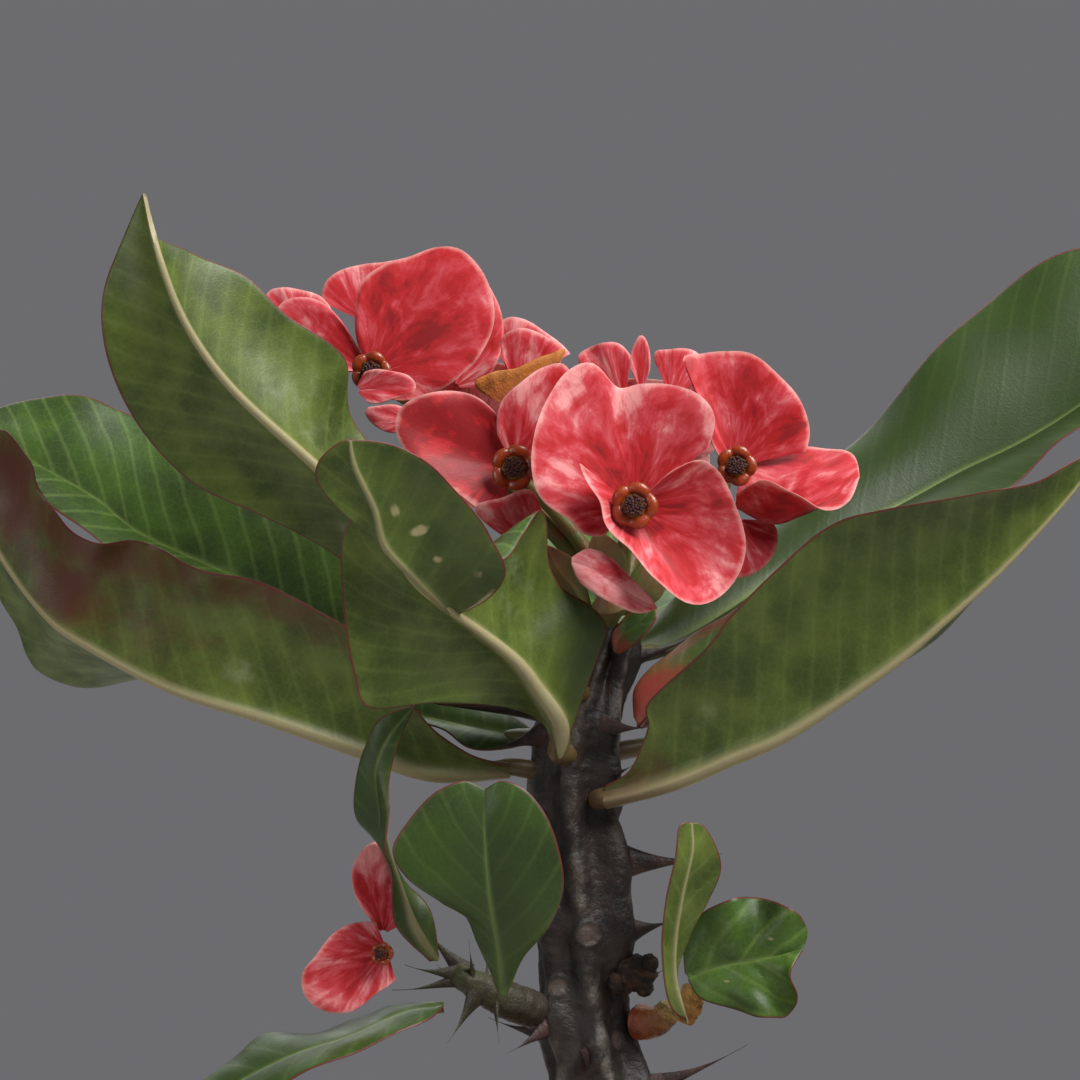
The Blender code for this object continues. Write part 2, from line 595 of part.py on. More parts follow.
FRONT_LEAF_LOWER = (
    [(0, 0, 0), (0, -4, 7), (-5, -13, 15), (-10, -21, 22), (-18, -31, 29), (-30, -44, 38),
     (-35, -49, 44), (-38, -52, 50)],
    [(-2, -1, 1), (-4, -4, 7), (-13, -14, 11), (-29, -27, 13), (-43, -37, 12), (-46, -41, 19),
     (-48, -44, 30), (-49, -47, 46), (-47, -49, 54), (-40, -52, 58)],
    [(2, -1, 1), (5, -3, 11), (9, -6, 23), (11, -8, 30), (7, -9, 35), (1, -10, 39), (-2, -14, 45),
     (-3, -21, 54), (-5, -27, 57), (-8, -33, 52), (-13, -41, 45), (-25, -48, 46)],
)
FRONT_LEAF_UPPER = (
    [(-25, -38, 34), (-34, -51, 43), (-39, -56, 49), (-41, -60, 57), (-45, -64, 66), (-46, -66, 72)],
    [(-27, -39, 34), (-36, -52, 45), (-41, -56, 51), (-47, -60, 55), (-53, -63, 62), (-53, -65, 67),
     (-49, -66, 71), (-46, -66, 72)],
    [(-23, -37, 33), (-16, -42, 37), (-12, -48, 43), (-15, -51, 50), (-18, -54, 55), (-24, -57, 62),
     (-29, -61, 67), (-37, -63, 71), (-46, -66, 72)],
)
LEFT_SHOOT_LEAVES = {
    "shoot_leaf_round": (
        (-23, -29, 214),
        [(0, 0, 0), (-1, -5, 11), (-3, -10, 25), (-4, -13, 39), (-4, -13, 49)],
        [(1, 0, 0), (2, -1, 3), (5, -4, 10), (11, -7, 17), (14, -10, 26), (13, -12, 35), (10, -14, 43),
         (5, -15, 49), (0, -14, 51), (-4, -13, 49)],
        [(-1, 0, 0), (-3, -3, 6), (-6, -6, 13), (-9, -9, 20), (-15, -12, 24), (-22, -15, 29),
         (-25, -16, 35), (-22, -16, 41), (-16, -15, 48), (-9, -14, 51), (-4, -13, 49)],
    ),
    "shoot_leaf_twisted": (
        (-39, -27, 222),
        [(0, 0, 0), (-5, -3, 9), (-9, -5, 20), (-11, -6, 27), (-12, -7, 35), (-13, -8, 45),
         (-10, -9, 53), (-4, -9, 60)],
        [(-1, -1, 0), (-9, -5, 9), (-9, -12, 21), (-11, -14, 27), (-10, -11, 36), (-10, -9, 43),
         (-8, -9, 51), (-4, -9, 60)],
        [(1, 1, 1), (-1, 1, 12), (-7, 2, 19), (-12, 2, 27), (-18, -1, 33), (-18, -5, 42),
         (-16, -7, 50), (-12, -9, 57), (-4, -9, 60)],
    ),
    "shoot_leaf_low": (
        (-37, -24, 211),
        [(0, 0, 0), (-9, -4, -1), (-21, -8, -6), (-34, -10, -10), (-48, -10, -17), (-65, -6, -28)],
        [(0, 1, 1), (-12, 4, 0), (-18, 4, -3), (-29, 3, -6), (-41, 2, -7), (-48, 0, -11),
         (-56, -3, -17), (-65, -6, -28)],
        [(0, -1, 0), (-5, -9, -3), (-19, -16, -8), (-35, -19, -15), (-51, -16, -24), (-65, -6, -28)],
    ),
}
RIGHT_SHOOT_LEAVES = {
    "shoot_leaf_narrow": (
        (20, -13, 206),
        [(0, 0, 0), (-3, -3, 10), (-3, -5, 20), (-1, -7, 32), (1, -8, 41), (1, -8, 48)],
        [(0, 0, 0), (-4, -4, 5), (-6, -8, 18), (-5, -10, 29), (-3, -11, 39), (-2, -10, 47), (1, -8, 48)],
        [(1, 0, 0), (-2, -2, 11), (1, -2, 20), (5, -3, 28), (8, -4, 36), (7, -6, 42), (4, -7, 47),
         (1, -8, 48)],
    ),
    "shoot_leaf_wavy": (
        (21, -8, 216),
        [(0, 0, 0), (8, -2, 3), (18, -4, 5), (27, -4, 7)],
        [(0, 0, -1), (3, -2, -5), (10, -4, -7), (17, -6, -9), (23, -3, -9), (25, -7, -4), (24, -8, 2),
         (27, -4, 7)],
        [(-1, 0, 1), (-1, 1, 9), (3, 0, 15), (10, -4, 19), (17, -1, 19), (24, -6, 17), (28, -3, 12),
         (27, -4, 7)],
    ),
}


def build_front_leaf(look, parent):
    """Build the creased front leaf, whose upper half folds over its lower half."""
    lower = blade_rows(*FRONT_LEAF_LOWER, LEAF_STEPS)
    mesh = shell_mesh("leaf_front", lower, blade_depths(LEAF_STEPS, LEAF_THICKNESS, FRONT_STALK))
    front = add_object("leaf_front", mesh, look, beside_stem(FRONT_LEAF_PLACE), parent)
    upper = blade_rows(*FRONT_LEAF_UPPER, LEAF_STEPS)
    fold = shell_mesh("fold", upper, blade_depths(LEAF_STEPS, LEAF_THICKNESS, FOLD_STALK))
    unite(front, [fold])


def build_leaves(crown, left_side, right_side):
    """Build every leaf of the crown and of the side shoots."""
    green = material("leaf_green", LEAF_GREEN, 0.5)
    young = material("young_green", YOUNG_GREEN, 0.45)
    for name, (place, *rails) in BIG_LEAVES.items():
        leaf(name, beside_stem(place), rails, green, crown, BIG_STALK)
    for name, (place, *rails) in YOUNG_LEAVES.items():
        leaf(name, beside_stem(place), rails, young, crown, SMALL_STALK)
    build_front_leaf(green, crown)
    for side, leaves in ((left_side, LEFT_SHOOT_LEAVES), (right_side, RIGHT_SHOOT_LEAVES)):
        for name, (place, *rails) in leaves.items():
            leaf(name, Vector(place) * MM, rails, green, side, SMALL_STALK)


# ---- flowers -----------------------------------------------------------------------------------
# Flower centres, in mm, and the way each faces (turn from -Y, rise above level, degrees).
FLOWERS = {
    "far_left": ((-54.5, -5, 360), 0, 0),
    "left": ((-20.5, -12, 337), 0, 0),
    "middle": ((7.5, -22, 328), 0, 0),
    "right": ((32, -8, 337.5), 0, 0),
    "back_left": ((-30, 24, 343), 155, 30),
    "back_right": ((14, 28, 340), 200, 35),
}


# Bracts round a flower's cup: flower, look, seat, cup, and the rim's (angle, reach, lift) points.
FLOWER_BRACTS = {
    "bract_middle_back": ("middle", "blush", 0.0, 1.5, [
        (225, 10, 4), (209, 13.5, 6), (192, 15.5, 8), (175, 22, 10), (162, 25, 11), (147, 28, 11),
        (129, 32, 9), (116, 35, 7), (106, 34.5, 5), (98, 28, 2), (87, 28.5, 2), (74, 29.5, 3),
        (60, 30, 5), (48, 28, 6), (38, 22, 4)]),
    "bract_middle_front": ("middle", "coral", 1.6, 2.6, [
        (43, 11, 6), (36, 18, 8), (23, 21, 8), (0, 23.5, 8), (-20, 27.5, 9), (-36, 29, 11),
        (-51, 28.5, 13), (-62, 25.5, 15), (-75, 17.5, 15), (-98, 10, 12), (-150, 8, 11),
        (-190, 8.5, 12), (-217, 16, 15)]),
    "bract_left_outer": ("left", "coral", 0.0, 1.5, [
        (109, 14, 2), (120, 20, 3), (138, 26.5, 5), (151, 30, 6), (161, 29.5, 6), (171, 26, 6),
        (183, 20, 7), (205, 14.5, 8), (230, 12.5, 9), (255, 10, 9)]),
    "bract_left_inner": ("left", "coral", 1.4, 1.5, [
        (116, 9, 3), (102, 15.5, 5), (86, 20, 6), (73, 25, 5), (63, 27, 4), (50, 22, 2),
        (25, 12, 3), (5, 8, 4)]),
    "bract_right_back": ("right", "coral", 0.0, 1.5, [
        (150, 4, 2), (124, 12, 3), (118, 22, 4), (116, 28.5, 4), (107, 28, 1), (95, 27.5, 1),
        (82, 27, 2), (65, 24, 3), (46, 22, 3), (25, 19.5, 2), (12, 17, 2)]),
    "bract_far_left_big": ("far_left", "coral", 1.4, 1.5, [
        (117, 7, 2), (105, 15, 3), (96, 21.5, 3), (83, 26, 2), (72, 29, 1), (63, 33.5, 1),
        (55, 36, 2), (46, 36, 3), (35, 34.5, 4), (22, 31.5, 5), (8, 26, 6), (-5, 20.5, 6),
        (-25, 14, 5), (-55, 8, 4)]),
    "bract_far_left_small": ("far_left", "coral", 0.0, 1.5, [
        (121, 6, 1), (121, 14, 2), (125, 20, 2), (133, 24.5, 2), (142, 27, 2), (151, 26.5, 2),
        (159, 23.5, 3), (165, 18, 3), (171, 12, 3), (178, 7, 2)]),
}
BACK_UPPER_RIM = [(-12, 12, 3), (5, 19, 5), (30, 22, 6), (60, 23, 5), (90, 21, 4), (120, 23, 5),
                  (150, 22, 6), (175, 18, 5), (192, 12, 3)]
BACK_LOWER_RIM = [(12, 11, 7), (-8, 18, 9), (-35, 22, 9), (-62, 23, 7), (-90, 21, 6),
                  (-118, 23, 7), (-145, 22, 9), (-172, 18, 9), (-192, 11, 7)]
for side in ("back_left", "back_right"):
    FLOWER_BRACTS[f"bract_{side}_upper"] = (side, "coral", 0.0, 1.5, BACK_UPPER_RIM)
    FLOWER_BRACTS[f"bract_{side}_lower"] = (side, "blush", 1.8, 1.5, BACK_LOWER_RIM)

# Bracts between the flowers, with no cup of their own: place in mm, look, inner reach, rim.
LOOSE_BRACTS = {
    "bract_left_lip": ((-14, -16, 315), "blush", 1.5, [
        (146, 15, 5), (141, 20, 9), (122, 17.5, 9), (99, 17, 6), (90, 12, 3)]),
    "bract_right_low": ((32, -12, 325), "blush", 1.5, [
        (-2, 8, 1), (-15, 10, 1), (-40, 12, 2), (-68, 13.5, 2), (-90, 14, 1), (-108, 13, 0)]),
    "bract_far_left_lip": ((-58, -15, 355.5), "blush", 1.0, [
        (62, 4.5, 1), (30, 9, 1), (12, 13.5, 2), (-2, 14, 2), (-16, 9, 2), (-45, 4.5, 1)]),
    "bract_far_left_low": ((-45, -9, 348), "blush", 1.0, [
        (215, 4.5, 1), (190, 8, 2), (174, 10.5, 3), (163, 11, 2), (150, 8, 1), (120, 4, 0)]),
    "bract_far_left_rear": ((-72, 8, 370), "coral", 1.0, [
        (140, 12, 1), (127, 13, 1), (112, 12, 1), (90, 10.5, 0), (62, 10, 0), (35, 9, 0)]),
    "bract_far_left_top": ((-57, 13, 373), "coral", 1.0, [
        (155, 11.5, 1), (137, 13.5, 1), (118, 14, 1), (98, 14, 0), (76, 15, 0), (58, 17, 0),
        (28, 14, 0)]),
    "bract_crest_coral": ((-35, 10, 357), "coral", 1.0, [
        (95, 23, 0), (82, 25.5, 0), (74, 26.5, 0), (66, 24, 0), (56, 20.5, 0), (41, 15, 0),
        (22, 9.5, 0), (0, 6, 0)]),
    "bract_crest_front": ((-19, 3, 353), "blush", 1.0, [
        (112, 12, 2), (107, 16, 2), (98, 17.5, 2), (88, 18, 2), (68, 17, 1), (52, 16.5, 0),
        (42, 11, 0)]),
    "bract_crest_rear": ((-20, 16, 358), "coral", 1.0, [
        (122, 11, 1), (110, 15, 1), (97, 16.5, 1), (84, 16, 1), (60, 14.5, 0), (30, 15, 0)]),
    "bract_wilted": ((-23, -4, 352), "wilted", 1.0, [
        (148, 7, 1), (140, 9, 2), (114, 8.5, 2), (72, 9.5, 1), (50, 16, 0), (43, 20, 0), (36, 14, 0)]),
    "bract_top_left": ((6, 7, 353), "coral", 1.0, [
        (142, 13, 0), (134, 16, 0), (122, 16, 0), (108, 15.5, 1), (95, 14.5, 1), (82, 11.5, 1)]),
    "bract_top_curl": ((9.8, -1, 355), "blush", 1.0, [
        (112, 7, 1), (98, 12, 1), (90, 14, 1), (82, 12, 1), (70, 6, 1)]),
    "bract_top_right": ((17, 4, 354), "coral", 1.0, [
        (112, 10, 0), (107, 12, 0), (90, 12, 0), (64, 13, 0), (45, 12, 0), (34, 10, 0)]),
}
# Bracts of the small flower on the left side shoot.
LOW_BRACTS = {
    "bract_low_upper": ((-51, -25, 228), "coral", 1.0, [
        (129, 8, 0), (121, 14, 1), (109, 19, 1), (92, 21.5, 0), (78, 15, -1), (55, 11, -1),
        (38, 12, 0), (28, 9, 0)]),
    "bract_low_lower": ((-50, -27, 224.5), "blush", 1.0, [
        (112, 7, 0), (132, 9, 1), (157, 12.5, 3), (181, 16, 4), (194, 20, 4), (208, 21.5, 4),
        (224, 20, 4), (240, 16, 4), (257, 10, 3), (287, 7, 2)]),
}
# Bracts folded like a blade: place in mm, look, rib and the two margins.
FOLDED_BRACTS = {
    "bract_right_fold": (
        (32, -11, 327), "coral",
        [(0, 0, 1), (8, -6, -3), (15, -9, -1), (23, -8, 3), (29, -5, 8)],
        [(0, -3, 4), (6, -9, 7), (13, -13, 4), (20, -13, 0), (26, -10, 2), (29, -5, 8)],
        [(1, 4, 8), (7, 6, 13), (15, 7, 15), (22, 5, 15), (28, 1, 13), (29, -5, 8)],
    ),
    "bract_salmon": (
        (-7, -28, 315), "blush",
        [(0, 0, 0), (5, -1, -2), (11, -1, -6), (20, 0, -11)],
        [(0, 0, -1), (2, -1, -5), (8, -2, -9), (15, -1, -12), (20, 0, -11)],
        [(0, 0, 1), (4, 0, 3), (9, 0, 1), (13, 0, -3), (18, 0, -8), (20, 0, -11)],
    ),
}
LOW_CUP = (-50.5, -29.5, 224)
LOW_CUP_WAY = (-0.3, -1, 0.1)


def build_bracts(crown, left_side):
    """Build the paired bracts of each flower, and the odd ones between them."""
    looks = {"coral": material("coral_bract", CORAL, 0.5), "blush": material("blush_bract", BLUSH, 0.5),
             "wilted": material("wilted_bract", WILTED, 0.7)}
    spare = CUP_RADIUS - DRAWN_CUP_RADIUS
    for name, (flower, look, seat, cup, rim) in FLOWER_BRACTS.items():
        place, turn, rise = FLOWERS[flower]
        bract(name, place, rim, looks[look], crown, turn, rise, seat=seat, cup=cup, spare=spare)
    for parent, bracts in ((crown, LOOSE_BRACTS), (left_side, LOW_BRACTS)):
        for name, (place, look, inner, rim) in bracts.items():
            bract(name, place, rim, looks[look], parent, inner=inner)
    for name, (place, look, *rails) in FOLDED_BRACTS.items():
        leaf(name, Vector(place) * MM, rails, looks[look], crown, BRACT_STALK)


def build_flower_cups(crown, left_side):
    """Build the small domed cup at the middle of each flower."""
    nectary = material("nectary", NECTARY, 0.3)
    for flower, (place, turn, rise) in FLOWERS.items():
        outward = facing_frame(radians(turn), radians(rise))[2]
        foot = Vector(place) * MM + outward * CUP_LIFT
        mesh = dome_mesh(f"cup_{flower}", outward, CUP_RADIUS, CUP_HEIGHT)
        add_object(f"cup_{flower}", mesh, nectary, foot, crown)
    low = dome_mesh("cup_low", Vector(LOW_CUP_WAY), LOW_CUP_RADIUS, CUP_HEIGHT)
    add_object("cup_low", low, nectary, Vector(LOW_CUP) * MM, left_side)


STALKS = [
    ([(4.5, -2, 303), (-6, -3, 316), (-24, -2, 335), (-40, -1, 349), (-52, 0, 357)], [2.2, 2, 1.8, 1.6, 1.4]),
    ([(3, -3, 303), (-4, -5, 318), (-14, -6, 330), (-20, -8, 335)], [2.2, 2, 1.7, 1.4]),
    ([(4.5, -4, 303), (5, -8, 312), (6, -14, 321), (7.3, -18, 327)], [2.2, 2.0, 1.8, 1.4]),
    ([(5, -2, 303), (12, -2, 315), (24, -2, 327), (31, -4, 334)], [2.2, 2.0, 1.7, 1.4]),
    ([(4, 1, 303), (-6, 8, 318), (-20, 15, 331), (-29, 20, 339)], [2.2, 1.9, 1.7, 1.4]),
    ([(5, 1, 303), (8, 9, 316), (12, 18, 328), (14, 23, 335)], [2.2, 1.9, 1.7, 1.4]),
]


def build_stalks(parent):
    """Build the forking flower stalk as one grown piece above the stem's tip."""
    look = material("stalk_green", STALK_GREEN, 0.5)
    first = tube_from("flower_stalk", *STALKS[0], STALK_STEPS)
    stalk = add_object("flower_stalk", first, look, (0, 0, 0), parent)
    unite(stalk, [tube_from("branch", *branch, BRANCH_STEPS) for branch in STALKS[1:]])


def main():
    """Build the whole potted plant."""
    start_clean()
    holder = add_empty("holder", (0, 0, 0))
    build_pot(holder)
    build_soil(holder)
    crown = add_empty("plant", (0, 0, soil_top() - SOIL_LINE), holder)
    left_side = shoot_empty("left_side", LEFT_SHOOT[0], crown)
    right_side = shoot_empty("right_side", RIGHT_SHOOT[0], crown)
    build_stem(crown)
    build_shoots(left_side, right_side)
    build_leaves(crown, left_side, right_side)
    build_bracts(crown, left_side)
    build_flower_cups(crown, left_side)
    build_stalks(crown)


main()
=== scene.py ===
"""The looks of a potted crown-of-thorns euphorbia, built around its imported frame.

Metres, +Z up. The flowers face -Y. Guide points are millimetres in the frame, as (right, back, up), and
each sheet follows the rails that its frame node was drawn from, at a finer step and with its own relief.
"""

import logging
from dataclasses import dataclass, field
from enum import Enum
from math import atan, cos, pi, radians, sin, tau
from typing import Any, Sequence

import bmesh
import bpy
import numpy as np
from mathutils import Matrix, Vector, noise


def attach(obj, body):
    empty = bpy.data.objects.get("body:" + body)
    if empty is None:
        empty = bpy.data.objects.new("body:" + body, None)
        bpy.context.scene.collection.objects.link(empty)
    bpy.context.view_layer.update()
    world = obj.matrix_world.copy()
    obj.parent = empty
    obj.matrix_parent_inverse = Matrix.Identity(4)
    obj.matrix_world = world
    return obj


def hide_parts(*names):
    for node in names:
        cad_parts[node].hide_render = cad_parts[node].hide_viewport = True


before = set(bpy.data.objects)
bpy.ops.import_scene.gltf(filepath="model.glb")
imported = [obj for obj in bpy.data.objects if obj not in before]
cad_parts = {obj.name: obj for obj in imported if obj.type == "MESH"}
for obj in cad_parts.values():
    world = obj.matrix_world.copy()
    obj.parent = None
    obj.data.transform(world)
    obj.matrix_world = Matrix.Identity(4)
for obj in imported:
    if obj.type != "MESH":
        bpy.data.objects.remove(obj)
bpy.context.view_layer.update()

MM = 0.001
BODY = "root"
CURVE_FINENESS = 24         # straight pieces between two guide points
SMOOTH_ANGLE = radians(60)
GOLDEN_ANGLE = pi * (3 - 5 ** 0.5)

Guides = Sequence[Sequence[float]]
Paint = tuple[float, float, float, float]
Triple = tuple[float, float, float]             # a place, a direction or three sizes
Faces = list[tuple[int, ...]]
Thorn = tuple[Triple, Triple, float]              # a foot, a tip and the foot's radius, in mm
Stalk = tuple[Guides, tuple[float, ...]]        # a path and its radii, in mm
Lamp = tuple[Triple, float, float]               # a place and a size in metres, and watts

log = logging.getLogger("euphorbia")


# ---- numbers, curves and meshes --------
def linear(colour: str) -> Paint:
    """Turn an sRGB hex colour into a linear colour with full alpha.

    Args:
        colour: The colour, such as "#9a2027".

    Returns:
        Red, green, blue and alpha as a shader socket takes them.
    """
    shares = [int(colour[i:i + 2], 16) / 255 for i in (1, 3, 5)]
    red, green, blue = [s / 12.92 if s <= 0.04045 else ((s + 0.055) / 1.055) ** 2.4 for s in shares]
    return red, green, blue, 1.0


def per_metre(size_mm: float) -> float:
    """Return the texture scale at which one cell of a pattern is size_mm across."""
    return 1.0 / (size_mm * MM)


def smooth_curve(guides: Guides, shares: np.ndarray) -> np.ndarray:
    """Read points from a smooth curve that passes through its guide points.

    Args:
        guides: The guide points, of any number of coordinates.
        shares: Where to read, as shares of the curve's length.

    Returns:
        One row for each share.
    """
    guide = np.asarray(guides, float)
    start, end = guide[:-1], guide[1:]
    before = np.vstack([guide[:1], guide[:-2]])
    after = np.vstack([guide[2:], guide[-1:]])
    t = (np.arange(CURVE_FINENESS) / CURVE_FINENESS)[None, :, None]
    ease = t * t * (3 - 2 * t)
    pull = (end - before)[:, None] * t * (1 - t) ** 2 - (after - start)[:, None] * t * t * (1 - t)
    dense = start[:, None] + (end - start)[:, None] * ease + 0.5 * pull
    dense = np.vstack([dense.reshape(-1, guide.shape[1]), guide[-1:]])
    lengths = np.concatenate([[0.0], np.cumsum(np.linalg.norm(np.diff(dense, axis=0), axis=1))])
    wanted = np.asarray(shares) * lengths[-1]
    return np.stack([np.interp(wanted, lengths, dense[:, k]) for k in range(guide.shape[1])], axis=1)


def unit(vectors: np.ndarray) -> np.ndarray:
    """Return vectors of length one in the same directions."""
    return vectors / np.maximum(np.linalg.norm(vectors, axis=-1, keepdims=True), 1e-12)


def sheet_normals(grid: np.ndarray) -> np.ndarray:
    """Return the unit normal at each point of a (rows, columns, 3) grid."""
    return unit(np.cross(np.gradient(grid, axis=0), np.gradient(grid, axis=1)))


def grid_faces(rows: int, columns: int, wrap: bool = False) -> np.ndarray:
    """Return the four-sided faces of a grid of points.

    Args:
        rows: Rows of points.
        columns: Points in each row.
        wrap: Whether each row is a closed ring.

    Returns:
        One row of four point numbers for each face.
    """
    i, j = np.meshgrid(np.arange(rows - 1), np.arange(columns - (0 if wrap else 1)), indexing="ij")
    one, two = i * columns + j, i * columns + (j + 1) % columns
    return np.stack([one, two, two + columns, one + columns], axis=-1).reshape(-1, 4)


def ring_faces(rings: int, sides: int) -> Faces:
    """Return the faces of a stack of rings, with a flat face over each end.

    Args:
        rings: Rings of points.
        sides: Points in each ring.

    Returns:
        The faces, as point numbers.
    """
    last = (rings - 1) * sides
    faces = [*map(tuple, grid_faces(rings, sides, wrap=True))]
    return faces + [tuple(range(sides))[::-1], tuple(range(last, last + sides))]


def wander(points: np.ndarray, size_mm: float, seed: float = 0.0) -> np.ndarray:
    """Return smooth noise between about -1 and 1 at each point.

    Args:
        points: Points in metres, in an array of any shape whose last side is 3.
        size_mm: How far apart the noise's hills are.
        seed: Moves the noise, so that pieces differ.

    Returns:
        One value for each point.
    """
    scale, shift = per_metre(size_mm), Vector((seed * 7.3, seed * 3.1, seed * 5.7))
    values = [noise.noise(Vector(p) * scale + shift) for p in points.reshape(-1, 3)]
    return np.array(values).reshape(points.shape[:-1])


@dataclass
class Form:
    """A mesh that is gathered from closed shells, with named values for each point."""

    points: list[np.ndarray] = field(default_factory=list)
    faces: Faces = field(default_factory=list)
    looks: list[int] = field(default_factory=list)
    values: list[dict[str, np.ndarray]] = field(default_factory=list)
    count: int = 0

    def add(self, points: np.ndarray, faces: Sequence[Sequence[int]], look: int = 0,
            **values: np.ndarray | float) -> None:
        """Add one shell.

        Args:
            points: Its points in metres, in an array whose last side is 3.
            faces: Its faces, as numbers of its own points.
            look: The number of its material.
            values: Named values for its points, each one number or one for each point.
        """
        points = points.reshape(-1, 3)
        self.faces += [tuple(int(k) + self.count for k in face) for face in faces]
        self.looks += [look] * len(faces)
        self.values.append({key: np.broadcast_to(np.ravel(value), len(points))
                            for key, value in values.items()})
        self.points.append(points)
        self.count += len(points)

    def finish(self, name: str, materials: Sequence[bpy.types.Material]) -> bpy.types.Object:
        """Make the gathered shells one smooth-shaded object, with every face turned outwards.

        Args:
            name: The object's name.
            materials: Its materials, in the order of the look numbers.

        Returns:
            The object, linked to the scene.
        """
        mesh = bpy.data.meshes.new(name)
        mesh.from_pydata(np.vstack(self.points).tolist(), [], self.faces)
        for look in materials:
            mesh.materials.append(look)
        mesh.polygons.foreach_set("material_index", self.looks)
        for key in sorted({key for values in self.values for key in values}):
            parts = [values.get(key, np.zeros(len(points)))
                     for values, points in zip(self.values, self.points)]
            mesh.attributes.new(key, "FLOAT", "POINT").data.foreach_set("value", np.concatenate(parts))
        shape = bmesh.new()
        shape.from_mesh(mesh)
        bmesh.ops.recalc_face_normals(shape, faces=shape.faces)
        shape.to_mesh(mesh)
        shape.free()
        mesh.shade_smooth()
        mesh.set_sharp_from_angle(angle=SMOOTH_ANGLE)
        piece = bpy.data.objects.new(name, mesh)
        bpy.context.scene.collection.objects.link(piece)
        return piece


def shell(middle: np.ndarray, above: np.ndarray, below: np.ndarray) -> tuple[np.ndarray, Faces]:
    """Close a sheet into a thin shell.

    Args:
        middle: The sheet's middle surface, as (rows, columns, 3).
        above: How far the upper face stands off it at each point, in metres.
        below: The same for the lower face.

    Returns:
        The points, first the upper grid and then the lower one, and the faces.
    """
    normals = sheet_normals(middle)
    rows, columns = middle.shape[:2]
    upper = (middle + normals * above[..., None]).reshape(-1, 3)
    lower = (middle - normals * below[..., None]).reshape(-1, 3)
    faces = grid_faces(rows, columns)
    under = rows * columns
    number = np.arange(under).reshape(rows, columns)
    rim = np.concatenate([number[0], number[1:, -1], number[-1, -2::-1], number[-2:0:-1, 0]])
    ahead = np.roll(rim, -1)
    sides = np.stack([rim, rim + under, ahead + under, ahead], axis=1)
    return np.vstack([upper, lower]), [*map(tuple, np.vstack([faces[:, ::-1], faces + under, sides]))]


def tube(path: np.ndarray, radii: np.ndarray, sides: int,
         flat: float = 1.0) -> tuple[np.ndarray, Faces, np.ndarray]:
    """Sweep a round section along a path.

    Args:
        path: The centre line in metres.
        radii: The radius at each of its points, in metres.
        sides: Points round the section.
        flat: The section's sideways width as a share of its height.

    Returns:
        The points ring by ring, the faces with both ends closed, and each point's share of the path.
    """
    ways = unit(np.gradient(path, axis=0))
    side = np.array([0.0, 0.0, 1.0]) if abs(ways[0, 2]) < 0.9 else np.array([1.0, 0.0, 0.0])
    angles = np.arange(sides) * tau / sides
    rings = []
    for centre, way, radius in zip(path, ways, radii):
        side = unit(side - way * (side @ way))
        other = np.cross(way, side)
        ring = side * np.cos(angles)[:, None] + other * np.sin(angles)[:, None] * flat
        rings.append(centre + ring * radius)
    share = np.repeat(np.linspace(0, 1, len(path)), sides)
    return np.vstack(rings), ring_faces(len(path), sides), share


def fit(piece: bpy.types.Object, slot: str, *nodes: str) -> bpy.types.Object:
    """Let a piece ride on the plant, hide the frame nodes that it stands for and log its material slot.

    Args:
        piece: The piece, already in place.
        slot: The record's material slot.
        nodes: The frame nodes it replaces, if any.

    Returns:
        The same piece.
    """
    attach(piece, BODY)
    if nodes:
        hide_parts(*nodes)
    log.info("%s: %d faces, slot %s", piece.name, len(piece.data.polygons), slot)
    return piece


# ---- material recipes --------
class Kind(Enum):
    """A node that the recipes use: its name in Blender, its fixed settings and its output."""

    MIX = ("ShaderNodeMix", {"data_type": "RGBA"}, 2)
    MATH = ("ShaderNodeMath", {}, 0)
    RANGE = ("ShaderNodeMapRange", {"interpolation_type": "SMOOTHSTEP"}, 0)
    NOISE = ("ShaderNodeTexNoise", {}, 0)
    CELLS = ("ShaderNodeTexVoronoi", {"feature": "DISTANCE_TO_EDGE"}, 0)
    VALUE = ("ShaderNodeAttribute", {}, 2)
    PLACE = ("ShaderNodeTexCoord", {}, 3)
    COMBINE = ("ShaderNodeCombineXYZ", {}, 0)
    BUMP = ("ShaderNodeBump", {}, 0)


class Recipe:
    """A material's node tree, written from the first texture to the shader."""

    def __init__(self, name: str) -> None:
        """Start a material that holds one Principled shader.

        Args:
            name: The material's name.
        """
        self.material = bpy.data.materials.new(name)
        self.material.use_nodes = True
        self.tree = self.material.node_tree
        self.shader = self.tree.nodes["Principled BSDF"]

    def add(self, kind: Kind, inputs: dict[int | str, Any] | None = None, **settings: Any) -> Any:
        """Add one node with its settings and its links.

        Args:
            kind: Which node.
            inputs: For each input, a socket to link or a value to set.
            settings: The node's own settings.

        Returns:
            The node's output socket.
        """
        name, fixed, output = kind.value
        node = self.tree.nodes.new(name)
        for key, value in {**fixed, **settings}.items():
            setattr(node, key, value)
        self.feed(node, inputs or {})
        return node.outputs[output]

    def feed(self, node: bpy.types.Node, inputs: dict[int | str, Any]) -> None:
        """Link or set a node's inputs.

        Args:
            node: The node.
            inputs: For each input, a socket to link or a value to set.
        """
        for key, value in inputs.items():
            if isinstance(value, bpy.types.NodeSocket):
                self.tree.links.new(value, node.inputs[key])
            else:
                node.inputs[key].default_value = value

    def shade(self, **inputs: Any) -> bpy.types.Material:
        """Feed the shader, with a socket's spaces written as underscores, and return the material."""
        self.feed(self.shader, {key.replace("_", " "): value for key, value in inputs.items()})
        return self.material


